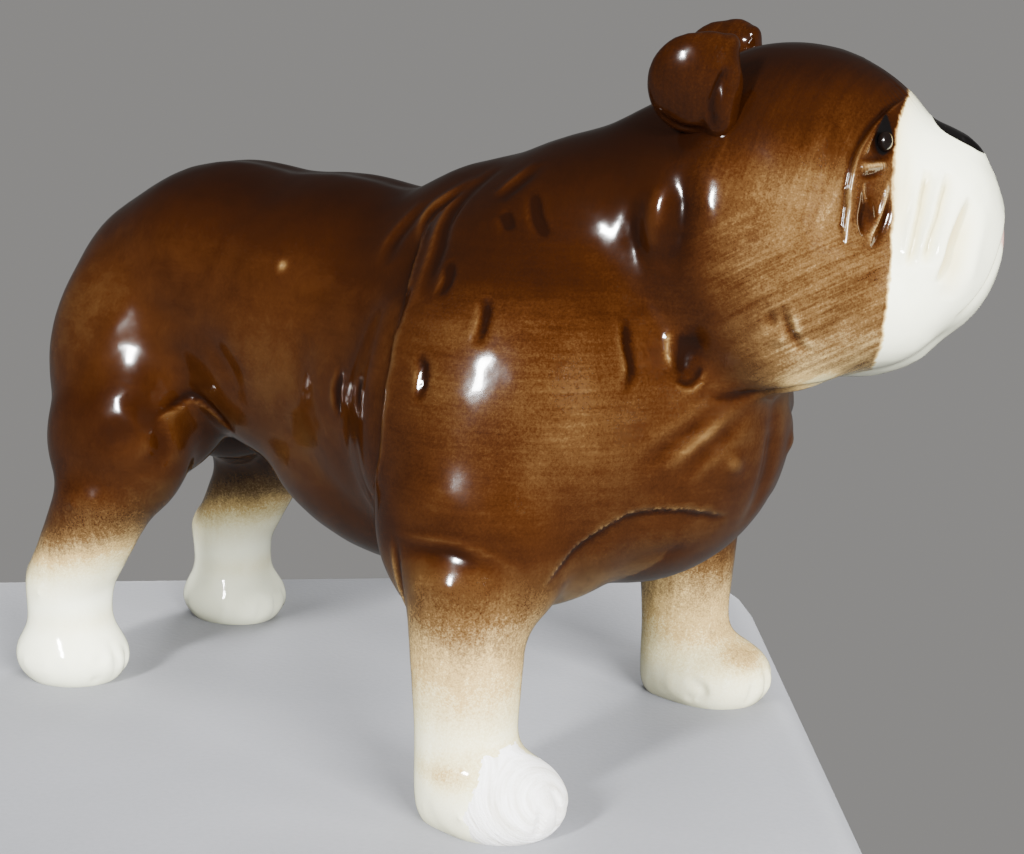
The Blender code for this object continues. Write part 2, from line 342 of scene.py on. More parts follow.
class Skin(Surface):
    """The fused skin while strokes are worked into it. Strokes are in millimetres.

    move is the depth worked along the normal, pool the glaze gathered in hollows and ridge the
    thin glaze on raised lines.
    """

    def __init__(self, obj):
        super().__init__(obj)
        faces = [tuple(face.vertices) for face in self.mesh.polygons]
        self.tree = BVHTree.FromPolygons([tuple(point) for point in self.co], faces)
        count = len(self.co)
        self.move = np.zeros(count)
        self.pool = np.zeros(count)
        self.ridge = np.zeros(count)

    def project(self, place, view, a, b):
        """The point of the skin seen at (a, b) in a view along the body's or the head's axes."""
        across, up, inward = VIEWS[view]
        start = place @ ((across * a + up * b - inward * 200) * MM)
        point, _, _, _ = self.tree.ray_cast(start, place.to_3x3() @ inward)
        return point

    def path(self, place, view, points, sway):
        line = unsteady(flowing(points, 0.4), sway)
        found = [self.project(place, view, *point) for point in line]
        return np.array([tuple(point) for point in found if point is not None])

    def near(self, path, reach):
        """Vertices within reach of a path, with the distance, the place along it and the side."""
        low = path.min(axis=0) - reach
        high = path.max(axis=0) + reach
        inside = np.nonzero(((self.co > low) & (self.co < high)).all(axis=1))[0]
        offset = self.co[inside][:, None, :] - path[None, :, :]
        squared = (offset ** 2).sum(axis=2)
        nearest = squared.argmin(axis=1)
        distance = np.sqrt(squared[np.arange(len(inside)), nearest])
        keep = distance < reach
        inside, nearest, distance = inside[keep], nearest[keep], distance[keep]
        heading = np.gradient(path, axis=0)
        heading /= np.linalg.norm(heading, axis=1)[:, None] + 1e-12
        gap = self.co[inside] - path[nearest]
        side = np.einsum("ij,ij->i", np.cross(heading[nearest], self.normal[inside]), gap)
        share = nearest / max(len(path) - 1, 1)
        return inside, distance / MM, share, side / MM

    def blobs(self, centre, axes, radii, turn, power):
        gap = (self.co - np.array(centre)) / MM
        a, b, c = (gap @ np.array(axis) for axis in axes)
        angle = math.radians(turn)
        u = (a * math.cos(angle) + b * math.sin(angle)) / radii[0]
        v = (-a * math.sin(angle) + b * math.cos(angle)) / radii[1]
        w = c / max(radii)
        facing = self.normal @ np.array(axes[2]) < 0.3
        return facing * np.exp(-((u * u + v * v + 0.5 * w * w) ** (power / 2)))

    def roughen(self, *layers):
        """Uneven clay, from layers of a height in millimetres and a number of lumps per metre."""
        for number, point in enumerate(self.co):
            place = Vector(point)
            self.move[number] += sum(height * noise.noise(place * scale) for height, scale in layers)

    def settle(self):
        """Press the strokes into the skin, easing it a little where they are."""
        self.co += self.normal * (self.move * MM)[:, None]
        worked = np.clip(np.abs(self.move) * 3, 0, 1)
        self.ease(0.35 * worked, 1)
        self.write()
        self.read()

    def relief(self, rounds):
        """How far each vertex stands out of the smoothed skin, in millimetres."""
        soft = self.co.copy()
        for _ in range(rounds):
            soft += 0.6 * (self.averaged(soft) - soft)
        return np.einsum("ij,ij->i", self.co - soft, self.normal) / MM


def tapered(share, ends):
    """1 along a stroke, falling to 0 at both its ends."""
    return np.clip(np.minimum(share, 1 - share) / ends, 0, 1) ** 0.8


class Tool:
    """A modelling tool held to the skin from one view of the body or the head."""

    def __init__(self, skin, place, view, side=RIGHT):
        self.skin = skin
        self.place = place
        self.view = view
        self.side = side

    def groove(self, points, width, depth, lip=0.0, lip_side=0, ends=0.35, pool=0.8, sway=0.3):
        """A furrow, with a raised and thinly glazed lip on one side or on both."""
        path = self.skin.path(self.place, self.view, points, sway)
        index, distance, share, aside = self.skin.near(path, width * 4 * MM)
        taper = tapered(share, ends)
        furrow = np.exp(-((distance / width) ** 2)) * taper
        raised = np.exp(-(((distance - 1.9 * width) / (0.8 * width)) ** 2)) * taper
        if lip_side:
            raised *= aside * lip_side * self.side > 0
        self.skin.move[index] += lip * raised - depth * furrow
        self.skin.pool[index] += pool * furrow
        self.skin.ridge[index] += min(1.0, 1.6 * lip) * raised

    def crest(self, points, width, height, ridge=0.8, ends=0.25, sway=0.2):
        """A raised line that the glaze has run off."""
        path = self.skin.path(self.place, self.view, points, sway)
        index, distance, share, _ = self.skin.near(path, width * 3 * MM)
        raised = np.exp(-((distance / width) ** 2)) * tapered(share, ends)
        self.skin.move[index] += height * raised
        self.skin.ridge[index] += ridge * raised

    def fold(self, points, depth, spread, edge=0.5, side=1, pool=0.6, ridge=0.5, ends=0.15, sway=0.3):
        """A fold: a step down on one side that eases away over spread."""
        path = self.skin.path(self.place, self.view, points, sway)
        index, distance, share, aside = self.skin.near(path, spread * 3 * MM)
        aside = aside * side * self.side
        taper = tapered(share, ends)
        beyond = np.clip(aside, 0, None)
        behind = np.clip(-aside, 0, None)
        step = smooth_step(aside, -edge, edge) * np.exp(-((beyond / spread) ** 2))
        crown = np.exp(-((behind / (0.9 * spread)) ** 2)) * (1 - smooth_step(aside, -edge, edge))
        self.skin.move[index] += taper * depth * (0.22 * crown - 0.78 * step)
        self.skin.pool[index] += pool * taper * np.exp(-(((aside - edge) / (1.6 * edge)) ** 2))
        self.skin.ridge[index] += ridge * taper * np.exp(-(((aside + 0.6 * edge) / (0.7 * edge)) ** 2))

    def press(self, place, radii, depth, turn=0.0, power=2.0, pool=0.0, ridge=0.0):
        """A dent, or with a negative depth a swelling, with an oval outline."""
        centre = self.skin.project(self.place, self.view, *place)
        axes = [self.place.to_3x3() @ axis for axis in VIEWS[self.view]]
        level = self.skin.blobs(centre, axes, radii, turn * -self.side, power)
        self.skin.move -= depth * level
        self.skin.pool += pool * level
        self.skin.ridge += ridge * level


def refine(obj, wanted):
    """Split the faces whose centres satisfy wanted into four, and ease the new facets."""
    mesh = bmesh.new()
    mesh.from_mesh(obj.data)
    centres = np.array([tuple(face.calc_center_median()) for face in mesh.faces])
    chosen = wanted(centres)
    picked = [face for face, pick in zip(mesh.faces, chosen) if pick]
    edges = dict.fromkeys(edge for face in picked for edge in face.edges)
    result = bmesh.ops.subdivide_edges(mesh, edges=list(edges), cuts=1, use_grid_fill=True)
    fresh = dict.fromkeys(item for item in result["geom_inner"] if isinstance(item, bmesh.types.BMVert))
    for _ in range(2):
        bmesh.ops.smooth_vert(
            mesh, verts=list(fresh), factor=0.5, use_axis_x=True, use_axis_y=True, use_axis_z=True
        )
    mesh.to_mesh(obj.data)
    mesh.free()


def head_faces(centres):
    """The face and cheeks. Further back the head stays coarser, to keep its triangles few."""
    ahead = local(centres, head_frame)[:, 0] > -12
    return ahead & ((centres - np.array(NECK_LUTE)) @ np.array(NECK_NORMAL) > -0.004)


def eye_faces(centres):
    x, y, z = local(centres, head_frame).T
    return (x > 9) & (x < 21) & (z > -6) & (z < 22) & (np.abs(y) > 8)


def broken_paw_faces(centres):
    x, y, z = centres.T
    return (x > FRONT_PAW_X - 0.002) & (y < 0) & (z < 0.020)


# ------------------------------------------------------------------ face

EYE = (16.4, 13.6)                      # forward and up from the head's centre
BROW = [(19.6, 21.0), (17.2, 19.2), (15.0, 16.9), (13.6, 14.8), (12.5, 12.5), (11.9, 10.1),
        (11.5, 6.9), (11.4, 3.6), (11.2, 0.4), (11.4, -3.0)]


def model_eye(tool):
    tool.fold(BROW, 1.5, 3.6, edge=0.35, side=-1, pool=0.55, ridge=0.7, ends=0.12, sway=0.1)
    tool.press((15.2, 3.0), (3.2, 5.8), 0.9, turn=6, pool=0.9)
    tool.press((EYE[0], EYE[1] + 0.6), (1.9, 3.4), 1.2, turn=-8, power=3.0, pool=1.2)
    tool.crest([(13.0, 10.9), (14.0, 13.4), (15.3, 16.4)], 0.38, 0.45, ridge=0.7, sway=0.0)
    tool.groove([(15.9, 16.6), (16.4, 18.4), (17.2, 19.6)], 0.5, 0.4, pool=0.9, sway=0.0)
    tool.groove([(12.6, 11.0), (14.8, 10.9), (17.6, 11.6)], 0.55, 0.4, pool=0.6, sway=0.0)
    tool.crest([(12.8, 9.4), (14.8, 9.9), (17.2, 10.3)], 0.75, 0.85, ridge=1.0, sway=0.0)
    tool.groove([(12.4, 8.2), (14.6, 8.4), (17.0, 8.9)], 0.5, 0.35, pool=0.8, sway=0.0)
    tool.press((12.9, 4.6), (0.8, 2.6), -0.8, turn=-3, pool=0.25)
    tool.crest([(13.7, 7.4), (13.9, 5.6), (14.4, 3.8)], 0.35, 0.35, ridge=0.8, sway=0.0)
    tool.press((15.3, 2.8), (0.75, 1.9), -0.9, turn=14, pool=0.3)
    tool.groove([(14.0, 4.0), (13.9, 1.0), (14.6, -1.6)], 0.5, 0.6, pool=0.9, sway=0.0)
    tool.crest([(17.5, 7.8), (17.4, 5.2), (16.8, 1.9), (15.6, -1.2), (15.2, -3.4)], 0.38, 0.65,
               ridge=1.0, sway=0.1)
    tool.groove([(18.2, 5.6), (17.9, 1.8), (16.8, -1.8), (15.9, -3.6)], 0.6, 0.65, pool=0.9, sway=0.0)


def model_muzzle(tool):
    tool.groove([(20.4, 13.0), (20.9, 8.0), (20.4, 1.0), (19.8, -5.0)], 0.9, 0.3, pool=0.12)
    tool.fold([(23.4, 9.6), (22.6, 4.2), (21.9, -1.2), (21.0, -6.4)], 2.0, 1.5, side=1, pool=0.35,
              ridge=0.0)
    tool.fold([(26.8, 9.0), (25.6, 3.6), (24.7, -0.6), (23.6, -6.0)], 2.0, 1.7, side=1, pool=0.35,
              ridge=0.0)
    tool.fold([(30.6, 5.0), (29.0, 0.6), (27.6, -4.0), (26.2, -9.0)], 1.7, 2.0, side=1, pool=0.3,
              ridge=0.0)
    tool.groove([(31.0, 4.2), (30.2, -1.5), (29.2, -7.0), (28.2, -12.0)], 2.0, 0.8, lip=0.25,
                pool=0.3)


def model_cheek(tool):
    tool.groove([(1.8, -12.7), (2.8, -16.9), (4.4, -19.6), (6.4, -21.3)], 0.8, 0.8, lip=0.25,
                lip_side=1, pool=0.6)
    tool.press((2.0, -18.6), (1.6, 1.0), -0.5, turn=30)
    tool.press((0.2, -15.4), (1.0, 1.6), 0.5, turn=20, pool=0.5)
    tool.press((5.2, -18.2), (1.1, 0.8), 0.4, turn=-30, pool=0.4)
    tool.groove([(8.0, 22.0), (9.4, 15.0), (8.6, 8.0)], 1.6, 0.25, pool=0.05)
    tool.groove([(3.4, 20.0), (4.6, 12.0), (4.2, 4.0)], 1.8, 0.2, pool=0.05)
    tool.groove([(-12.0, -29.4), (-5.0, -30.0), (4.0, -28.6), (10.0, -27.4)], 1.1, 0.8, pool=0.2)
    # pit at the jaw's corner, with a torn lower edge
    tool.press((-13.6, -22.4), (2.3, 3.8), 1.3, turn=-14, power=2.4, pool=0.5)
    tool.press((-13.0, -23.4), (0.9, 1.8), -0.7, turn=16)
    tool.groove([(-15.2, -18.6), (-14.4, -22.0), (-15.0, -26.0)], 0.7, 0.5, pool=0.8)
    tool.fold([(-15.6, -27.4), (-12.4, -27.8), (-10.6, -24.6)], 0.8, 1.6, side=1, pool=0.5, ridge=0.8)
    tool.crest([(-17.0, -18.2), (-17.2, -21.6), (-16.6, -24.8)], 0.6, 0.5, ridge=0.9)
    # the neck's skin behind the cheek and below the ear
    tool.groove([(-16.8, 9.5), (-15.6, 3.0), (-16.4, -4.0), (-18.8, -8.6)], 2.6, 1.3, pool=0.3)
    tool.groove([(-24.5, 4.0), (-24.0, -3.0), (-21.0, -9.0)], 2.0, 0.7, pool=0.2)
    tool.press((-20.2, 1.0), (2.2, 6.0), -0.8, turn=-8)


def model_front(tool):
    """Nose, mouth and the furrow of the brow."""
    tool.press((0, 13.4), (5.8, 3.8), -0.5, power=4.0)
    tool.groove([(0, 15.0), (0, 10.0), (0, 4.0)], 0.6, 0.6, pool=0.5, sway=0.0)
    for side in (RIGHT, LEFT):
        tool.press((side * 3.2, 12.8), (1.3, 0.9), 1.2, turn=side * 25, power=3.0)
    lip = [(-13.5, -15.5), (-9.5, -9.0), (-5.0, -2.5), (0, 1.2), (5.0, -2.5), (9.5, -9.0), (13.5, -15.5)]
    tool.fold(lip, 0.7, 2.6, edge=0.5, side=-1, pool=0.3, ridge=0.0, ends=0.1)
    tool.groove([(0, 27.0), (0, 21.0)], 1.6, 0.6, pool=0.2)


# ------------------------------------------------------------------ body

def model_withers(tool, x, z):
    """The roll behind the shoulder and the folds drawn up to the withers."""
    tool.fold([(x - 22, z + 32), (x - 20, z + 27), (x - 16, z + 19), (x - 14.2, z + 10.7),
               (x - 14, z + 2.4), (x - 14.2, z - 6.5), (x - 17.5, z - 17)],
              1.7, 4.5, edge=0.6, side=-1, pool=0.5, ridge=0.25)
    tool.groove([(x - 11.1, z + 40.5), (x - 15, z + 33.8), (x - 12.5, z + 27), (x - 9, z + 19)],
                1.3, 0.6, lip=0.3, lip_side=-1, pool=0.3)
    tool.groove([(x - 13.7, z + 38.1), (x - 21, z + 31.9), (x - 16.9, z + 27.8)], 1.3, 0.5, lip=0.3,
                lip_side=-1, pool=0.3)
    tool.groove([(x - 24.2, z + 33.7), (x - 27.5, z + 27.3), (x - 26.5, z + 23)], 1.5, 0.45, lip=0.2,
                lip_side=-1, pool=0.2)
    tool.groove([(x - 0.1, z + 42.1), (x - 4, z + 36.7), (x - 5.1, z + 35.5)], 1.3, 0.45, lip=0.25,
                lip_side=-1, pool=0.3)


SLITS = (
    [(21.9, 18.2), (23.3, 14.3), (24.8, 10.2), (25.4, 6.1)],
    [(2.2, 21.2), (3.6, 18.7), (4.0, 15.5), (3.3, 13.4)],
    [(-7.1, 11.1), (-5.2, 8.9), (-4.7, 5.6), (-5.5, 3.4)],
    [(-8.5, 26.0), (-6.7, 23.4), (-6.3, 20.5)],
    [(1.1, 37.8), (3.1, 35.5), (5.3, 32.6), (7.4, 30.5)],
    [(-2.9, 34.0), (0.4, 31.3)],
    [(-15.6, 20.8), (-14.6, 17.4), (-13.9, 12.8)],
    [(-31.0, 4.0), (-32.2, 0.0), (-31.4, -4.5)],
    [(-22.6, 4.4), (-23.6, 1.2), (-22.0, -1.4)],
)


def model_side(tool, shoulder, hip, z):
    for points in SLITS:
        moved = [(shoulder + x, z + up) for x, up in points]
        tool.groove(moved, 0.85, 0.7, lip=0.14, lip_side=-1, pool=1.1, ends=0.3)
    model_withers(tool, shoulder, z)
    # thigh, flank and rump
    tool.groove([(hip + 10.7, z - 7.1), (hip + 15.6, z - 11.8), (hip + 17.1, z - 18), (hip + 14, z - 24)],
                2.2, 0.8, pool=0.3)
    tool.groove([(hip + 23.2, z + 5.8), (hip + 29.3, z + 2.4), (hip + 33, z - 2), (hip + 33, z - 9)],
                3.6, 0.9, pool=0.15)
    tool.fold([(hip + 16, z - 12.2), (hip + 19.5, z - 8.6), (hip + 23, z - 10.5), (hip + 27, z - 15)],
              1.0, 2.4, edge=0.5, side=1, pool=0.5, ridge=0.4)
    tool.press((shoulder - 3, z - 6), (12.0, 13.0), -1.2)
    tool.press((hip + 14, z + 8.4), (7.0, 3.0), 0.45, turn=-15)
    tool.press((hip + 4, z + 4.0), (3.0, 8.0), -0.5, turn=-25)
    tool.press((hip + 17, z + 6.0), (4.0, 3.4), -0.4)
    tool.press((hip + 10, z - 15.5), (4.5, 3.0), 0.5, turn=20, pool=0.15)
    tool.groove([(shoulder - 44, z + 9), (shoulder - 45, z + 2), (shoulder - 43, z - 6)], 4.0, 0.5,
                pool=0.1)
    # brisket: the line along the leg's top, the fold to the chest and the hollow under it
    tool.crest([(shoulder - 8.6, z - 19.4), (shoulder - 2, z - 18.9), (shoulder + 5, z - 18.8),
                (shoulder + 11, z - 20.6), (shoulder + 14.4, z - 23.6)], 0.6, 0.22, ridge=0.35)
    tool.groove([(shoulder - 7, z - 21.8), (shoulder, z - 20.8), (shoulder + 6, z - 21.0),
                 (shoulder + 11.6, z - 23.2)], 1.3, 0.25, pool=0.45)
    tool.groove([(shoulder - 7.4, z - 20), (shoulder - 7.9, z - 27), (shoulder - 7.2, z - 36)],
                0.8, 0.6, lip=0.3, lip_side=-1, pool=0.5)


def model_chest(tool, shoulder, z):
    """Seen from the front, the line from the leg's inside over the chest, and the throat."""
    for side in (RIGHT, LEFT):
        edge = [(side * 39.5, z - 26.5), (side * 36.3, z - 22.7), (side * 29.2, z - 16.2),
                (side * 20.5, z - 14.9), (side * 8.1, z - 17.8)]
        tool.fold(edge, 1.0, 4.0, edge=0.45, side=side, pool=0.35, ridge=0.9)
        tool.groove([(side * 27.1, z - 6.8), (side * 23.3, z - 3.2), (side * 19.1, z),
                     (side * 14.2, z + 3)],
                    1.4, 0.45, lip=0.12, pool=0.25)
        tool.groove([(side * 21.4, z - 9.5), (side * 18.4, z - 5.3), (side * 13, z - 1.5),
                     (side * 8, z + 1)],
                    1.4, 0.4, lip=0.12, pool=0.25)
        tool.press((side * 11.4, z - 7.4), (2.4, 1.6), -0.8, turn=side * 30)
        tool.press((side * 15.0, z - 24.0), (4.0, 1.6), 0.35, pool=0.3)
    tool.groove([(0, z + 4), (0, z - 8), (0, z - 22)], 2.6, 1.0, pool=0.15)


# ------------------------------------------------------------------ paws

def model_paws(tool):
    for paw_x, track, toe in (
        (FRONT_PAW_X / MM, FRONT_TRACK / MM, 4.0), (HIND_PAW_X / MM, HIND_TRACK / MM, 3.7)
    ):
        for side in (RIGHT, LEFT):
            middle = side * track / 2
            for spread in (-1.15, 0.0, 1.15):
                y = middle + spread * toe
                rise = 9.4 - 1.6 * abs(spread)
                tool.groove([(y, 0.6), (y, 3.6), (y * 0.5 + (middle + 0.7 * spread * toe) * 0.5, rise)],
                            0.8, 0.75, pool=0.3, ends=0.45, sway=0.2)


def sculpt(obj):
    skin = Skin(obj)
    shoulder, hip, z = SHOULDER_X / MM, HIP_X / MM, SHOULDER_Z / MM
    for view, side in SIDES:
        face = Tool(skin, head_frame, view, side)
        model_eye(face)
        model_muzzle(face)
        model_cheek(face)
        model_side(Tool(skin, BODY, view, side), shoulder, hip, z)
    model_front(Tool(skin, head_frame, "front"))
    model_chest(Tool(skin, BODY, "front"), shoulder, z)
    model_paws(Tool(skin, BODY, "front"))
    spine = Tool(skin, BODY, "top")
    spine.groove([(hip - 12, 0), (hip + 20, 0), (hip + 60, 0), (shoulder - 8, 0)], 3.0, 0.5, pool=0.1)
    vent = Tool(skin, BODY, "under")
    vent.press((along(0.35) / MM, 0), (2.6, 2.6), 3.0, power=6.0, pool=0.8)
    skin.roughen((0.14, 75), (0.05, 210))
    skin.settle()
    return skin


# ------------------------------------------------------------------ underglaze painting

OUTSIDE = -9                            # millimetres: well outside a painted outline


def soft_spot(points, centre, radii):
    """1 at the centre of an oval spot and 0 well outside it."""
    gap = (points - np.array(centre)) / np.array(radii)
    return np.exp(-(gap ** 2).sum(axis=1))


def oval_reach(points, centre, radii):
    """Distance from the centre of an oval, 1 on its edge."""
    gap = (points - np.array(centre)) / np.array(radii)
    return np.sqrt((gap ** 2).sum(axis=1))


def stepped(value, *stops):
    """Values between (position, level) stops, straight from one stop to the next."""
    positions = [position for position, _ in stops]
    levels = [level for _, level in stops]
    return np.interp(value, positions, levels)


def muzzle_edge(head):
    """How far inside the white of the muzzle each point is, in millimetres."""
    line = stepped(head[:, 2], (-27.5, 11.0), (-25.5, 16.4), (-19, 18.2), (-10, 18.7), (2, 18.6),
                   (8, 18.2), (15.6, 18.2), (21, 19.4))
    return np.minimum(head[:, 0] - line, 23.0 - head[:, 2])


def body_paint(skin):
    """The brown's strength over the trunk and legs, with some painted shade: 0 is bare cream glaze and 1
    is deep brown.
    """
    x, y, z = (skin.co / MM).T
    shoulder, hip, height = SHOULDER_X / MM, HIP_X / MM, SHOULDER_Z / MM
    up = skin.normal[:, 2]
    body = skin.co / MM
    paint = np.full(len(x), 0.95)
    # painted shade: the brown is deepened where the top of the back faces up
    paint += 0.22 * smooth_step(up, 0.35, 0.95) * smooth_step(z, height + 8, height + 26)
    paint += 0.12 * smooth_step(z, height + 14, height + 36) * smooth_step(x, shoulder, shoulder + 20)
    for side in (RIGHT, LEFT):
        paint -= 0.17 * soft_spot(body, (shoulder + 18, side * 40, height + 2), (20, 22, 14))
        paint -= 0.10 * soft_spot(body, (shoulder + 2, side * 36, height + 15), (14, 20, 10))
        paint -= 0.12 * soft_spot(body, (hip + 40, side * 26, height - 14), (22, 14, 16))
        paint -= 0.08 * soft_spot(body, (hip - 14, side * 20, height - 6), (14, 14, 20))
        paint -= 0.10 * soft_spot(body, (hip - 4, side * 24, height + 6), (14, 12, 16))
        paint += 0.08 * soft_spot(body, (hip + 2, side * 30, height - 10), (12, 12, 9))
        paint -= 0.06 * soft_spot(body, (hip + 48, side * 28, height + 4), (14, 12, 14))
        paint += 0.08 * soft_spot(body, (shoulder - 12, side * 34, height - 20), (10, 14, 14))
    paint -= 0.08 * soft_spot(body, (shoulder + 34, 0, height - 2), (14, 30, 11))
    paint -= 0.12 * soft_spot(body, (shoulder + 30, 0, height - 20), (16, 26, 10))
    front = smooth_step(x, shoulder - 20, shoulder - 14) * (np.abs(y) > 15)
    hind = 1 - smooth_step(x, shoulder - 60, shoulder - 50)
    fade_z = np.where(y > 0, z + 10, z)
    front_fade = stepped(fade_z, (10, 0.04), (16, 0.08), (21.5, 0.19), (26, 0.26), (30, 0.34), (37, 0.54),
                         (42, 0.74), (50, 1.0))
    hind_line = z - 0.20 * (x - hip)
    hind_fade = stepped(hind_line, (18, 0.0), (23.5, 0.08), (28, 0.26), (32, 0.55), (37, 0.84), (43, 1.0))
    paint *= 1 - front * (1 - np.clip(front_fade, 0, 1))
    paint *= 1 - hind * (1 - hind_fade)
    # a tan band at each front ankle, partly painted shade where the leg meets the paw; stronger on the
    # right
    for side, strength in ((RIGHT, 0.24), (LEFT, 0.10)):
        ankle = (FRONT_PAW_X / MM - 5, side * (FRONT_TRACK / 2 / MM + 6), 10.5)
        paint += strength * soft_spot(body, ankle, (6, 8, 2.4))
        paint += 0.10 * soft_spot(body, (FRONT_PAW_X / MM, side * FRONT_TRACK / 2 / MM, 14), (9, 9, 2))
    paint -= 0.5 * soft_spot(body, (hip + 44.5, -24.0, height + 20.3), (1.0, 1.6, 1.0))
    toe = (FRONT_PAW_X / MM + 8, FRONT_TRACK / 2 / MM - 2, 10)
    paint += 0.20 * soft_spot(body, toe, (5, 6, 2.4))
    for side in (RIGHT, LEFT):
        toe = (HIND_PAW_X / MM + 3, side * HIND_TRACK / 2 / MM, 13)
        paint += 0.10 * soft_spot(body, toe, (7, 8, 2.2))
    return paint


def head_paint(skin):
    """The brown's strength over the head."""
    head = skin.head
    hx, hy, hz = head.T
    paint = np.full(len(hx), 0.63)
    paint += 0.40 * smooth_step(hz, 5, 18)
    paint += 0.16 * smooth_step(hz, 18, 28)
    paint += 0.30 * (1 - smooth_step(hx, -18, -8))
    paint -= 0.20 * smooth_step(-hz, 12, 24) * smooth_step(hx, -14, -4)
    for side in (RIGHT, LEFT):
        paint -= 0.02 * soft_spot(head, (6, side * 26, 3), (7, 12, 9))
        paint -= 0.08 * soft_spot(head, (11, side * 22, 18), (5, 10, 6))
        paint += 0.10 * soft_spot(head, (-4, side * 27, -12), (8, 12, 5))
        paint += 0.15 * soft_spot(head, (-9, side * 27, 6), (9, 12, 11))
    jaw = smooth_step(-hz, 23.5, 27.5) * smooth_step(hx, -15, -8)
    paint *= 1 - 0.72 * jaw
    return paint


def paint_skin(skin):
    """Every painted value of the skin, by the name of its attribute."""
    skin.head = local(skin.co, head_frame)
    reach = (skin.co - np.array(NECK_LUTE)) @ np.array(NECK_NORMAL) / MM
    on_head = smooth_step(reach, -7, 9)
    painted = body_paint(skin) * (1 - on_head) + head_paint(skin) * on_head
    relief = skin.relief(14)
    hollow = smooth_step(-relief, 0.05, 0.5)
    crest = smooth_step(relief, 0.06, 0.4)
    muzzle = muzzle_edge(skin.head)
    ink = 4.0 * (1 - oval_reach(skin.head, (30.0, 0, 15.0), (7.4, 6.5, 4.2)))
    for side in (RIGHT, LEFT):
        lid = skin.head - np.array((EYE[0] - 0.1, side * 17.5, EYE[1] + 0.7))
        tip = np.clip(lid[:, 2], 0, 4) / 4
        across = 1.45 - 0.95 * tip
        rim = np.sqrt((lid[:, 0] / across) ** 2 + (lid[:, 2] / np.where(lid[:, 2] > 0, 3.9, 2.8)) ** 2)
        ink = np.maximum(ink, np.where(skin.head[:, 1] * side > 9, 1.6 * (1 - rim), OUTSIDE))
    lips = 2.5 * (1 - oval_reach(skin.head, (33.0, 0, -2.0), (6.0, 5.5, 4.6)))
    folds = muzzle > 0
    high = smooth_step(skin.head[:, 2], -2, 8)
    low_cheek = 1 - smooth_step(skin.head[:, 2], -6, 6)
    body = skin.co / MM
    shoulder, height = SHOULDER_X / MM, SHOULDER_Z / MM
    level = 0.45 * soft_spot(body, (shoulder + 10, 0, height + 8), (24, 90, 24))
    limb = 1 - smooth_step(body[:, 2], height - 34, height - 22)
    return {
        "paint": painted,
        "pool": np.clip(0.90 * skin.pool + 0.65 * hollow, 0, 1.5),
        "ridge": np.clip(skin.ridge + 0.42 * crest, 0, 1.3),
        "muzzle": muzzle,
        "ink": ink,
        "lips": lips,
        "level_strokes": 0.08 + (1 - on_head) * level,
        "slant_strokes": on_head * low_cheek * 0.75,
        "upright_strokes": on_head * (1 - low_cheek) * 0.5 + limb * 0.3,
        "grain": 0.10 + 0.25 * limb + 0.14 * on_head + 0.5 * level,
        "tint": folds * np.clip(skin.pool + 0.35 * np.exp(-np.clip(muzzle, 0, 9) / 1.6) * high, 0, 1),
    }


# ------------------------------------------------------------------ castings

def store(mesh, name, values):
    attribute = mesh.attributes.new(name, "FLOAT", "POINT")
    attribute.data.foreach_set("value", np.ascontiguousarray(values, dtype=np.float32))


def store_vectors(mesh, name, values):
    attribute = mesh.attributes.new(name, "FLOAT_VECTOR", "POINT")
    attribute.data.foreach_set("vector", np.ascontiguousarray(values, dtype=np.float32).ravel())


def right_or_left(point, side):
    return point.y * side > 0


def front_quarter(point, side):
    return right_or_left(point, side) and point.x > along(0.5) and point.z < SHOULDER_Z


def hind_quarter(point, side):
    return right_or_left(point, side) and point.x < along(0.5) and point.z < SHOULDER_Z


def sliced(mesh, point, normal, inside):
    """Cut the mesh along a plane within the region inside; the faces beyond are returned."""
    chosen = [face for face in mesh.faces if inside(face.calc_center_median())]
    geometry = dict.fromkeys(chosen)
    for face in chosen:
        geometry.update(dict.fromkeys(face.verts))
        geometry.update(dict.fromkeys(face.edges))
    bmesh.ops.bisect_plane(mesh, geom=list(geometry), plane_co=point, plane_no=normal)
    beyond = []
    for face in mesh.faces:
        centre = face.calc_center_median()
        if inside(centre) and (centre - point).dot(normal) > 0:
            beyond.append(face)
    return beyond


def fill(mesh, edges):
    """Close open edges with flat faces of the second material."""
    for face in bmesh.ops.holes_fill(mesh, edges=edges, sides=0)["faces"]:
        face.material_index = 1
        face.smooth = False


def cap(mesh):
    """Close every open edge."""
    fill(mesh, [edge for edge in mesh.edges if edge.is_boundary])
    bmesh.ops.recalc_face_normals(mesh, faces=mesh.faces)


def cap_leg_top(mesh, point, normal):
    """Close the leg's seam and leave the ragged edge of the paw open."""
    fill(mesh, [edge for edge in mesh.edges if edge.is_boundary
                and abs((edge.verts[0].co - point).dot(normal)) < 1e-5])


def only(mesh, kept):
    """A copy of the mesh with just these faces."""
    numbers = {face.index for face in kept}
    copy = mesh.copy()
    copy.faces.ensure_lookup_table()
    extra = [face for face in copy.faces if face.index not in numbers]
    bmesh.ops.delete(copy, geom=extra, context="FACES")
    return copy


def finished_piece(mesh, name):
    """An object from a casting, shaded with the whole skin's normals so no seam shows."""
    data = bpy.data.meshes.new(name)
    mesh.to_mesh(data)
    mesh.free()
    obj = bpy.data.objects.new(name, data)
    bpy.context.scene.collection.objects.link(obj)
    count = len(data.vertices)
    flat = np.empty(count * 3, dtype=np.float32)
    data.attributes["skin_normal"].data.foreach_get("vector", flat)
    whole = flat.reshape(-1, 3)
    whole /= np.linalg.norm(whole, axis=1)[:, None] + 1e-9
    loops = np.empty(len(data.loops), dtype=np.int32)
    data.loops.foreach_get("vertex_index", loops)
    normals = whole[loops]
    for face in data.polygons:
        if not face.use_smooth:
            normals[list(face.loop_indices)] = face.normal
    data.normals_split_custom_set([tuple(normal) for normal in normals])
    data.attributes.remove(data.attributes["skin_normal"])
    return obj


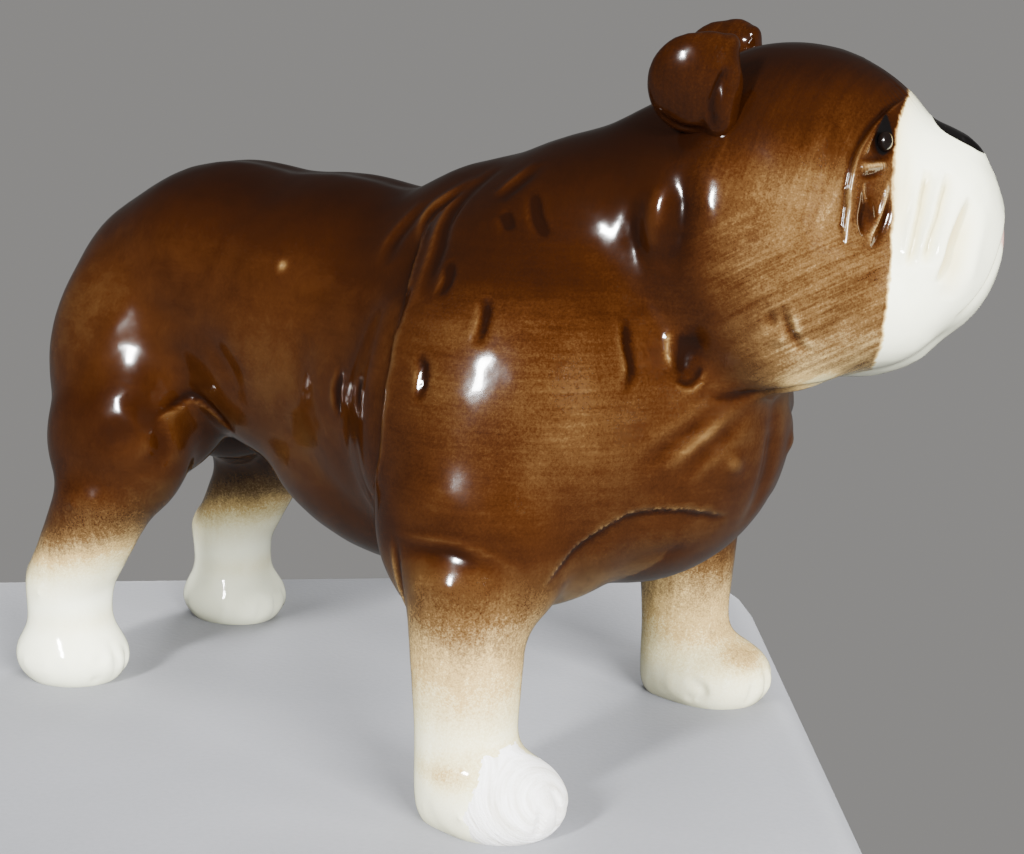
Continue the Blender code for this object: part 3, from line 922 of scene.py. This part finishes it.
def torn(mesh, inside, point, normal):
    """Faces past a ragged edge near a plane: where the paw's front was broken off."""
    beyond = []
    for face in mesh.faces:
        centre = face.calc_center_median()
        if not inside(centre):
            continue
        depth = (centre - point).dot(normal)
        depth += 0.0009 * noise.noise(centre * 180) + 0.0008 * noise.noise(centre * 520)
        if depth > 0:
            beyond.append(face)
    return beyond


def sunk_edge(mesh, centre):
    """Turn an open ragged edge inwards so that a cap can close it under the surface."""
    rim = [edge for edge in mesh.edges if edge.is_boundary]
    turned = bmesh.ops.extrude_edge_only(mesh, edges=rim)["geom"]
    for item in turned:
        if isinstance(item, bmesh.types.BMVert):
            item.co = item.co.lerp(centre, 0.45)


def castings(obj):
    """Part the skin at the lute seams into torso, head, legs and the filled paw front."""
    mesh = bmesh.new()
    mesh.from_mesh(obj.data)
    for face in mesh.faces:
        face.smooth = True
    under = sliced(mesh, Vector((0, 0, 0)), Vector((0, 0, -1)), lambda point: point.z < 0.003)
    bmesh.ops.delete(mesh, geom=under, context="FACES")
    cap(mesh)
    cuts = []
    for side_name, side in SIDES:
        normal = Vector((0, side * LEG_LUTE_SLOPE, -1)).normalized()
        for part, x, track, z, quarter in (
            ("front_leg", FRONT_LEG_X, FRONT_TRACK, FRONT_LUTE_Z, front_quarter),
            ("hind_leg", HIP_X, HIND_TRACK, HIND_LUTE_Z, hind_quarter),
        ):
            point = Vector((x, side * track / 2, z))
            cuts.append((f"{side_name}_{part}", point, normal, partial(quarter, side=side)))
    cuts.append(("head", NECK_LUTE, NECK_NORMAL, lambda point: True))
    pieces = {}
    for name, point, normal, inside in cuts:
        beyond = sliced(mesh, point, normal, inside)
        mesh.faces.index_update()
        piece = only(mesh, beyond)
        bmesh.ops.delete(mesh, geom=beyond, context="FACES")
        if name == "right_front_leg":
            core = Vector((FRONT_PAW_X + 0.003, -FRONT_TRACK / 2, 0.006))
            chipped = torn(piece, lambda place: place.z < 0.0150, PAW_BREAK, PAW_BREAK_NORMAL)
            piece.faces.index_update()
            filled = only(piece, chipped)
            bmesh.ops.delete(piece, geom=chipped, context="FACES")
            cap_leg_top(piece, point, normal)
            for part in (piece, filled):
                sunk_edge(part, core)
                cap(part)
            pieces["paw_fill"] = finished_piece(filled, "filled_toes")
        else:
            cap(piece)
        pieces[name] = finished_piece(piece, f"{name}_glazed")
    cap(mesh)
    pieces["torso"] = finished_piece(mesh, "torso_glazed")
    return pieces



# ------------------------------------------------------------------ ears, tail and eyes

def small_piece(clay, name, smoothing):
    """Lumps fused at a fine scale, for a piece that is stuck on."""
    piece = clay.fused(name, SMALL_VOXEL, smoothing)
    subdivide_once(piece)
    shade_smooth(piece.data)
    return piece


def ear(name, side, forward, rise, tall):
    """A thick button ear: a flap with a corner at the front of its top, folded over its root."""
    clay = Clay()
    outward = 0.0200
    tilt = (side * -15, 0, 0)
    clay.add((forward, side * outward, rise), (0.0082, 0.0044, tall), tilt)
    clay.add((forward + 0.0024, side * outward, rise + 0.0024), (0.0052, 0.0040, tall - 0.0020), tilt)
    clay.add((forward + 0.0056, side * (outward - 0.0006), rise + 0.0062), (0.0017, 0.0030, 0.0024), tilt)
    clay.add((forward + 0.0046, side * (outward + 0.0002), rise - 0.0040), (0.0030, 0.0036, 0.0066), tilt)
    piece = small_piece(clay.moved(head_frame), name, 10)
    skin = Skin(piece)
    tool = Tool(skin, head_frame, "right" if side == RIGHT else "left", side)
    x, z = forward / MM, rise / MM
    tool.fold([(x + 5.2, z + 3.4), (x + 3.4, z - 0.6), (x + 2.6, z - 4.0), (x + 3.4, z - 7.4)], 0.9, 1.6,
              side=1, pool=0.8, ridge=0.5)
    tool.groove([(x - 6.4, z - 4.6), (x - 2.0, z - 7.0), (x + 3.0, z - 7.6)], 0.7, 0.4, pool=0.6)
    skin.roughen((0.10, 160))
    skin.settle()
    return skin


def plain_paint(skin, level):
    """A small piece painted evenly, darker in its hollows."""
    relief = skin.relief(10)
    zero = np.zeros(len(skin.co))
    return {
        "paint": zero + level,
        "pool": np.clip(0.6 * skin.pool + 0.4 * smooth_step(-relief, 0.03, 0.35), 0, 1.2),
        "ridge": np.clip(0.35 * smooth_step(relief, 0.08, 0.4), 0, 1),
        "muzzle": zero + OUTSIDE,
        "ink": zero + OUTSIDE,
        "lips": zero + OUTSIDE,
        "level_strokes": zero + 0.1,
        "slant_strokes": zero,
        "upright_strokes": zero + 0.6,
        "grain": zero + 0.3,
        "tint": zero,
    }


def tail():
    """A short tail that drops from the rump and hooks to the left."""
    clay = Clay()
    root = Vector((HIP_X - 0.0238, 0.003, SHOULDER_Z + 0.015))
    lumps = 9
    for step in range(lumps):
        share = step / (lumps - 1)
        radius = 0.0045 * (1 - 0.35 * share)
        centre = root + 0.012 * Vector((-0.04 * share, 0.25 * share ** 2, -share))
        clay.add(centre, (radius, radius, radius))
    piece = small_piece(clay, "tail_glazed", 4)
    return Skin(piece)


def eyeball(name, view, skin):
    """A glossy dark ball set in the eye's hollow."""
    seat = skin.project(head_frame, view, EYE[0] + 0.1, EYE[1])
    inward = head_frame.to_3x3() @ VIEWS[view][2]
    centre = seat + inward * 0.0010
    deselect()
    bpy.ops.mesh.primitive_uv_sphere_add(segments=48, ring_count=24, radius=1)
    ball = bpy.context.object
    ball.name = name
    turn = head_frame.to_3x3().to_4x4()
    shape = Matrix.Diagonal((0.00130, 0.0016, 0.00180, 1))
    ball.data.transform(Matrix.Translation(centre) @ turn @ shape)
    shade_smooth(ball.data)
    return ball


# ------------------------------------------------------------------ material helpers

def linear(red, green, blue):
    """A colour given as it looks on a screen, 0 to 255, as the linear values a shader takes."""
    def one(value):
        value = value / 255
        return value / 12.92 if value < 0.04045 else ((value + 0.055) / 1.055) ** 2.4
    return (one(red), one(green), one(blue), 1)


def feed(tree, socket, value):
    """Link a value that comes from a node, or set a plain one."""
    if isinstance(value, bpy.types.NodeSocket):
        tree.links.new(value, socket)
    else:
        socket.default_value = value


def add(tree, kind, inputs=None, **settings):
    made = tree.nodes.new(kind)
    for name, value in settings.items():
        setattr(made, name, value)
    for name, value in (inputs or {}).items():
        feed(tree, made.inputs[name], value)
    return made


def calc(tree, operation, *values, clamp=False):
    made = tree.nodes.new("ShaderNodeMath")
    made.operation = operation
    made.use_clamp = clamp
    for socket, value in zip(made.inputs, values):
        feed(tree, socket, value)
    return made.outputs[0]


def spread(tree, value, low, high, bottom=0.0, top=1.0):
    made = add(tree, "ShaderNodeMapRange", {
        "Value": value, "From Min": low, "From Max": high, "To Min": bottom, "To Max": top,
    }, clamp=True)
    return made.outputs["Result"]


def blended(tree, share, first, second):
    """A colour between two; a mix node's colour sockets have only their numbers to tell them apart."""
    made = add(tree, "ShaderNodeMix", data_type="RGBA")
    feed(tree, made.inputs["Factor"], share)
    feed(tree, made.inputs[6], first)
    feed(tree, made.inputs[7], second)
    return made.outputs[2]


def painted(tree, name):
    return add(tree, "ShaderNodeAttribute", attribute_name=name).outputs["Fac"]


def group(name, inputs, outputs):
    """An empty node group with its input and output nodes."""
    tree = bpy.data.node_groups.new(name, "ShaderNodeTree")
    for label, kind, value in inputs:
        socket = tree.interface.new_socket(label, in_out="INPUT", socket_type=kind)
        if value is not None:
            socket.default_value = value
    for label, kind in outputs:
        tree.interface.new_socket(label, in_out="OUTPUT", socket_type=kind)
    start = tree.nodes.new("NodeGroupInput")
    end = tree.nodes.new("NodeGroupOutput")
    return tree, start.outputs, end.inputs


def use(tree, made, **inputs):
    node = tree.nodes.new("ShaderNodeGroup")
    node.node_tree = made
    for name, value in inputs.items():
        feed(tree, node.inputs[name.capitalize()], value)
    return node.outputs


def bumped(tree, height, strength, distance):
    made = add(tree, "ShaderNodeBump", {"Height": height, "Strength": strength, "Distance": distance})
    return made.outputs["Normal"]


def cloud(tree, vector, scale, detail=2.0, roughness=0.5, distortion=0.0):
    """Noise of that many lumps per metre, 0 to 1."""
    made = add(tree, "ShaderNodeTexNoise", {
        "Vector": vector, "Scale": scale, "Detail": detail, "Roughness": roughness,
        "Distortion": distortion,
    })
    return made.outputs["Fac"]


def make_brushwork():
    """Fine lines left by a flat brush, drawn out along X after a turn about Y."""
    tree, given, result = group(
        "brushwork",
        [("Vector", "NodeSocketVector", None), ("Turn", "NodeSocketVector", (0, 0, 0)),
         ("Fineness", "NodeSocketFloat", 1.0)],
        [("Lines", "NodeSocketFloat")],
    )

    def drawn_out(stretch, detail, roughness):
        mapping = add(tree, "ShaderNodeMapping", {
            "Vector": given["Vector"], "Rotation": given["Turn"], "Scale": stretch,
        }, vector_type="TEXTURE")
        return cloud(tree, mapping.outputs["Vector"], given["Fineness"], detail, roughness)

    fine = calc(tree, "MULTIPLY", drawn_out((0.014, 0.014, 0.0007), 3.0, 0.6), 0.6)
    broad = calc(tree, "MULTIPLY", drawn_out((0.022, 0.022, 0.0024), 2.0, 0.5), 0.4)
    tree.links.new(calc(tree, "ADD", fine, broad), result["Lines"])
    return tree


DEEPEST = 1.3                           # strength at the end of the brown's ramp
BROWNS = (
    (0.00, (243, 245, 218)), (0.12, (222, 212, 162)), (0.26, (182, 154, 98)),
    (0.42, (127, 105, 68)), (0.56, (88, 66, 38)), (0.72, (60, 39, 18)),
    (0.88, (44, 21, 5)), (1.00, (32, 12, 2)), (1.18, (19, 6, 2)),
)


def make_underglaze():
    """Sprayed and brushed brown over cream: from the brown's strength to a colour."""
    tree, given, result = group(
        "underglaze",
        [("Strength", "NodeSocketFloat", 0.8)],
        [("Colour", "NodeSocketColor")],
    )
    ramp = add(tree, "ShaderNodeValToRGB", {"Fac": calc(tree, "DIVIDE", given["Strength"], DEEPEST)})
    elements = ramp.color_ramp.elements
    for element, (strength, colour) in zip(elements, (BROWNS[0], BROWNS[-1])):
        element.position = strength / DEEPEST
        element.color = linear(*colour)
    for strength, colour in BROWNS[1:-1]:
        elements.new(strength / DEEPEST).color = linear(*colour)
    tree.links.new(ramp.outputs["Color"], result["Colour"])
    return tree


def make_speckle():
    """The stipple of a spray and the soft mottling of a fired glaze, both about 0."""
    tree, given, result = group(
        "speckle",
        [("Vector", "NodeSocketVector", None)],
        [("Stipple", "NodeSocketFloat"), ("Mottle", "NodeSocketFloat")],
    )
    vector = given["Vector"]
    fine = cloud(tree, vector, 3600.0, 1.0, 0.5)
    coarse = cloud(tree, vector, 1700.0, 2.0, 0.6)
    both = calc(tree, "ADD", fine, coarse)
    tree.links.new(calc(tree, "SUBTRACT", both, 1.0), result["Stipple"])
    broad = cloud(tree, vector, 60.0, 2.0, 0.5, 0.6)
    middling = cloud(tree, vector, 210.0, 3.0, 0.6, 0.4)
    both = calc(tree, "ADD", broad, middling)
    tree.links.new(calc(tree, "SUBTRACT", both, 1.0), result["Mottle"])
    return tree


def make_ripple():
    """The uneven skin of a poured glaze, as a normal."""
    tree, given, result = group(
        "glaze ripple",
        [("Vector", "NodeSocketVector", None), ("Depth", "NodeSocketFloat", 0.06)],
        [("Normal", "NodeSocketVector")],
    )
    wide = cloud(tree, given["Vector"], 140.0, 2.0, 0.5)
    peel = cloud(tree, given["Vector"], 620.0, 1.0, 0.5)
    height = calc(tree, "ADD", wide, calc(tree, "MULTIPLY", peel, 0.12))
    height = calc(tree, "MULTIPLY", height, calc(tree, "MULTIPLY", given["Depth"], MM))
    tree.links.new(bumped(tree, height, 1.0, 1.0), result["Normal"])
    return tree


brushwork = make_brushwork()
underglaze = make_underglaze()
speckle = make_speckle()
ripple = make_ripple()


def empty_material(name):
    material = bpy.data.materials.new(name)
    material.use_nodes = True
    tree = material.node_tree
    shader = tree.nodes["Principled BSDF"]
    position = add(tree, "ShaderNodeTexCoord").outputs["Object"]
    return material, tree, shader, position


# The strokes' attribute, their turn about Y in degrees and their fineness
STROKES = (("level_strokes", 0, 1.0), ("slant_strokes", -30, 1.3), ("upright_strokes", -84, 0.7))


def glazed(name):
    """Brown underglaze, sprayed and brushed over cream, under a clear gloss glaze."""
    material, tree, shader, position = empty_material(name)
    base = painted(tree, "paint")
    lines = 0.0
    for strokes, degrees, fineness in STROKES:
        turn = (0, math.radians(degrees), 0)
        drawn = use(tree, brushwork, vector=position, turn=turn, fineness=fineness)["Lines"]
        drawn = calc(tree, "SUBTRACT", drawn, 0.5)
        lines = calc(tree, "MULTIPLY_ADD", drawn, painted(tree, strokes), lines)
    marks = use(tree, speckle, vector=position)
    # marks show most where the brown is neither bare nor solid
    window = calc(tree, "MULTIPLY", base, calc(tree, "SUBTRACT", 1.25, base))
    window = calc(tree, "MULTIPLY", window, 2.6, clamp=True)
    strength = calc(tree, "MULTIPLY_ADD", lines, window, base)
    grain = calc(tree, "MULTIPLY", window, painted(tree, "grain"))
    strength = calc(tree, "MULTIPLY_ADD", marks["Stipple"], grain, strength)
    strength = calc(tree, "MULTIPLY_ADD", marks["Mottle"], calc(tree, "MULTIPLY", window, 0.22), strength)
    pool = painted(tree, "pool")
    brown = spread(tree, base, 0.08, 0.45)
    strength = calc(tree, "MULTIPLY_ADD", calc(tree, "MULTIPLY", pool, brown), 0.34, strength)
    ridge = painted(tree, "ridge")
    strength = calc(tree, "MULTIPLY_ADD", calc(tree, "MULTIPLY", ridge, brown), -0.36, strength)
    # the white of the muzzle, with a clean edge and warm shade in its folds
    waver = calc(tree, "SUBTRACT", cloud(tree, position, 500.0, 3.0), 0.5)
    edge = calc(tree, "ADD", painted(tree, "muzzle"), calc(tree, "MULTIPLY", waver, 1.2))
    white = spread(tree, edge, -0.35, 0.35)
    fold_shade = calc(tree, "MULTIPLY", painted(tree, "tint"), 0.36)
    strength = add(tree, "ShaderNodeMix", {"Factor": white, 2: strength, 3: fold_shade},
                   data_type="FLOAT").outputs[0]
    colour = use(tree, underglaze, strength=calc(tree, "MAXIMUM", strength, 0.0))["Colour"]
    # bare glaze turns a little green where it lies thick
    thick = spread(tree, marks["Mottle"], 0.0, 0.5)
    bare = spread(tree, strength, 0.22, 0.0)
    thick = calc(tree, "MULTIPLY", calc(tree, "MULTIPLY", thick, bare), 0.5)
    colour = blended(tree, thick, colour, linear(226, 229, 198))
    lips = spread(tree, painted(tree, "lips"), -0.15, 0.25)
    colour = blended(tree, calc(tree, "MULTIPLY", lips, 0.7), colour, linear(206, 132, 128))
    ink = spread(tree, painted(tree, "ink"), -0.10, 0.12)
    colour = blended(tree, ink, colour, linear(7, 6, 6))
    tree.links.new(colour, shader.inputs["Base Color"])
    tree.links.new(spread(tree, marks["Mottle"], -0.4, 0.4, 0.10, 0.15), shader.inputs["Roughness"])
    shader.inputs["IOR"].default_value = 1.46
    shader.inputs["Coat Weight"].default_value = 0.4
    shader.inputs["Coat Roughness"].default_value = 0.03
    tree.links.new(use(tree, ripple, vector=position, depth=0.09)["Normal"], shader.inputs["Normal"])
    return material


def bare_clay(name):
    """The sole that stood on the kiln shelf: dry biscuit with a fine grain."""
    material, tree, shader, position = empty_material(name)
    marks = use(tree, speckle, vector=position)
    share = spread(tree, marks["Mottle"], -0.4, 0.4)
    colour = blended(tree, share, linear(222, 210, 188), linear(196, 182, 158))
    tree.links.new(colour, shader.inputs["Base Color"])
    tree.links.new(spread(tree, marks["Stipple"], -0.5, 0.5, 0.75, 0.95), shader.inputs["Roughness"])
    tree.links.new(bumped(tree, marks["Stipple"], 0.5, 0.00008), shader.inputs["Normal"])
    return material


def filler(name):
    """White repair filler: matt and sanded, with scratches."""
    material, tree, shader, position = empty_material(name)
    marks = use(tree, speckle, vector=position)
    turn = (0.3, math.radians(58), 0.2)
    scratches = use(tree, brushwork, vector=position, turn=turn, fineness=1.6)["Lines"]
    share = spread(tree, scratches, 0.35, 0.62)
    colour = blended(tree, share, linear(204, 200, 188), linear(250, 250, 250))
    tree.links.new(colour, shader.inputs["Base Color"])
    tree.links.new(spread(tree, marks["Stipple"], -0.4, 0.4, 0.62, 0.9), shader.inputs["Roughness"])
    height = calc(tree, "ADD", scratches, calc(tree, "MULTIPLY", marks["Stipple"], 0.4))
    tree.links.new(bumped(tree, height, 0.9, 0.00030), shader.inputs["Normal"])
    return material


def eye_glaze(name):
    """A near black glaze, glossier than the rest."""
    material, tree, shader, position = empty_material(name)
    marks = use(tree, speckle, vector=position)
    share = spread(tree, marks["Mottle"], -0.4, 0.4)
    tree.links.new(blended(tree, share, linear(6, 4, 4), linear(14, 9, 7)), shader.inputs["Base Color"])
    shader.inputs["Roughness"].default_value = 0.2
    shader.inputs["Coat Weight"].default_value = 1.0
    shader.inputs["Coat Roughness"].default_value = 0.02
    return material


def pale_floor(name):
    """A pale grey cloth's colour on a plain slab."""
    material, tree, shader, position = empty_material(name)
    weave = cloud(tree, position, 900.0, 2.0)
    broad = cloud(tree, position, 14.0, 3.0, 0.5, 0.5)
    share = spread(tree, calc(tree, "ADD", calc(tree, "MULTIPLY", weave, 0.3), broad), 0.35, 0.95)
    colour = blended(tree, share, linear(108, 110, 115), linear(125, 126, 131))
    tree.links.new(colour, shader.inputs["Base Color"])
    shader.inputs["Roughness"].default_value = 0.75
    shader.inputs["Sheen Weight"].default_value = 0.15
    tree.links.new(bumped(tree, weave, 0.3, 0.0002), shader.inputs["Normal"])
    return material


# ------------------------------------------------------------------ assembly

def dress(obj, *materials):
    obj.data.materials.clear()
    for material in materials:
        obj.data.materials.append(material)


EAR_PAINT = 1.02
TAIL_PAINT = 0.88

brown = glazed("brown glaze")
cream = glazed("cream glaze")
biscuit = bare_clay("bare clay")
plaster = filler("repair filler")
dark = eye_glaze("black glaze")

figure = base_skin()
for region in (head_faces, eye_faces, broken_paw_faces):
    refine(figure, region)
skin = sculpt(figure)
for name, values in paint_skin(skin).items():
    store(figure.data, name, values)
store_vectors(figure.data, "skin_normal", skin.normal)
shown = castings(figure)
eyes = [eyeball(f"{view}_eye", view, skin) for view, _ in SIDES]
bpy.data.objects.remove(figure)

for name, obj in shown.items():
    if name == "paw_fill":
        dress(obj, plaster, plaster)
    else:
        dress(obj, cream if name.endswith("leg") else brown, biscuit)

stuck_on = {
    "right_ear": (ear("right_ear_glazed", RIGHT, -0.0150, 0.0222, 0.0088), EAR_PAINT),
    "left_ear": (ear("left_ear_glazed", LEFT, -0.0152, 0.0232, 0.0096), EAR_PAINT),
    "tail": (tail(), TAIL_PAINT),
}
for node, (piece, strength) in stuck_on.items():
    for name, values in plain_paint(piece, strength).items():
        store(piece.mesh, name, values)
    dress(piece.obj, brown)
    shown[node] = piece.obj

for node, obj in shown.items():
    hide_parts(node)
    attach(obj, "root")
    if node == "paw_fill":
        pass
    elif node.endswith("leg"):
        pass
    else:
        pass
    # the pale legs would show as stripes in the belly's gloss
    obj.visible_glossy = not node.endswith("leg")
for ball in eyes:
    dress(ball, dark)
    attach(ball, "root")


# ------------------------------------------------------------------ stage, lights and camera

def direction(azimuth, elevation):
    """A unit vector: azimuth from the dog's right side towards its head, elevation above it."""
    a, e = math.radians(azimuth), math.radians(elevation)
    return Vector((math.sin(a) * math.cos(e), -math.cos(a) * math.cos(e), math.sin(e)))


SLAB = ((-0.300, -0.109), (-0.002, 0.132), (0.172, -0.130), (-0.126, -0.371))
SLAB_THICKNESS = 0.20
SLAB_CORNER_RADIUS = 0.030
SLAB_EDGE_RADIUS = 0.008


def rounded_corner(before, corner, after, radius):
    """Points of an arc that rounds off a corner of the slab."""
    start = corner + (before - corner).normalized() * radius
    end = corner + (after - corner).normalized() * radius
    points = []
    for step in range(7):
        share = step / 6
        points.append(start.lerp(corner, share).lerp(corner.lerp(end, share), share))
    return points


def make_floor():
    """A thick pale slab with rounded corners and soft edges."""
    corners = [Vector(corner) for corner in SLAB]
    outline = []
    for number, corner in enumerate(corners):
        after = corners[(number + 1) % len(corners)]
        outline += rounded_corner(corners[number - 1], corner, after, SLAB_CORNER_RADIUS)
    deselect()
    bpy.ops.mesh.primitive_circle_add(vertices=len(outline), radius=1, fill_type="NGON")
    floor = bpy.context.object
    floor.name = "floor"
    for vertex, point in zip(floor.data.vertices, outline):
        vertex.co = (point.x, point.y, 0)
    bpy.ops.object.mode_set(mode="EDIT")
    bpy.ops.mesh.select_all(action="SELECT")
    bpy.ops.mesh.extrude_region_move(TRANSFORM_OT_translate={"value": (0, 0, -SLAB_THICKNESS)})
    bpy.ops.mesh.select_all(action="SELECT")
    bpy.ops.mesh.normals_make_consistent(inside=False)
    bpy.ops.object.mode_set(mode="OBJECT")
    edge = floor.modifiers.new("soft edge", "BEVEL")
    edge.width = SLAB_EDGE_RADIUS
    edge.segments = 6
    apply_all(floor)
    shade_smooth(floor.data)
    dress(floor, pale_floor("pale floor"))
    return floor


LAMP_AIM = Vector((0, 0, 0.07))


def lamp(name, azimuth, elevation, distance, power, width, height, mirrored=False):
    """A soft box aimed at the figure, in degrees, metres and watts; the glaze mirrors only some."""
    data = bpy.data.lights.new(name, "AREA")
    data.shape = "RECTANGLE"
    data.size = width
    data.size_y = height
    data.energy = power
    obj = bpy.data.objects.new(name, data)
    bpy.context.scene.collection.objects.link(obj)
    out = direction(azimuth, elevation)
    obj.location = LAMP_AIM + out * distance
    obj.rotation_euler = out.to_track_quat("Z", "Y").to_euler()
    obj.visible_glossy = mirrored


floor = make_floor()
floor.visible_glossy = False
lamp("key", -2, 25, 1.2, 38.0, 0.12, 0.28, mirrored=True)
lamp("overhead", 30, 78, 1.0, 4.0, 0.9, 0.9)
lamp("window", -60, 40, 1.4, 5.0, 0.5, 0.5)
lamp("front fill", 60, 22, 1.3, 66.0, 0.6, 0.5)
lamp("low fill", 92, 3, 1.3, 18.0, 0.3, 0.3)
lamp("far side", 200, 24, 1.4, 34.0, 0.6, 0.6)

BACKDROP = (0.268, 0.262, 0.255, 1)
ROOM_BELOW = (0.150, 0.145, 0.140, 1)
ROOM_ABOVE = (0.050, 0.048, 0.046, 1)

world = bpy.data.worlds.new("studio")
world.use_nodes = True
sky = world.node_tree
seen = sky.nodes["Background"]
seen.inputs["Color"].default_value = BACKDROP
# the room the glaze mirrors: paler below than above
toward = add(sky, "ShaderNodeTexCoord").outputs["Generated"]
height = add(sky, "ShaderNodeSeparateXYZ", {"Vector": toward}).outputs["Z"]
room = blended(sky, spread(sky, height, -0.5, 0.4), ROOM_BELOW, ROOM_ABOVE)
dim = add(sky, "ShaderNodeBackground", {"Color": room})
straight_on = add(sky, "ShaderNodeLightPath").outputs["Is Camera Ray"]
choice = add(sky, "ShaderNodeMixShader", {"Fac": straight_on})
sky.links.new(dim.outputs[0], choice.inputs[1])
sky.links.new(seen.outputs[0], choice.inputs[2])
sky.links.new(choice.outputs[0], sky.nodes["World Output"].inputs["Surface"])
bpy.context.scene.world = world

CAMERA_AZIMUTH, CAMERA_ELEVATION, CAMERA_ROLL = 32, 12, 1.3
CAMERA_AIM = Vector((0.011, 0, 0.0602))
CAMERA_DISTANCE = 0.383
FOCAL_LENGTH = 70.7                     # millimetres, on a frame 36 wide

lens = bpy.data.cameras.new("camera")
lens.lens = FOCAL_LENGTH
lens.sensor_width = 36
lens.clip_start = 0.01
camera = bpy.data.objects.new("camera", lens)
bpy.context.scene.collection.objects.link(camera)
out = direction(CAMERA_AZIMUTH, CAMERA_ELEVATION)
heading = math.radians(CAMERA_AZIMUTH)
level = Vector((math.cos(heading), math.sin(heading), 0))
upright = out.cross(level)
roll = math.radians(CAMERA_ROLL)
across = level * math.cos(roll) + upright * math.sin(roll)
above = upright * math.cos(roll) - level * math.sin(roll)
stand = Matrix((across, above, out)).transposed().to_4x4()
stand.translation = CAMERA_AIM + out * CAMERA_DISTANCE
camera.matrix_world = stand
bpy.context.scene.camera = camera
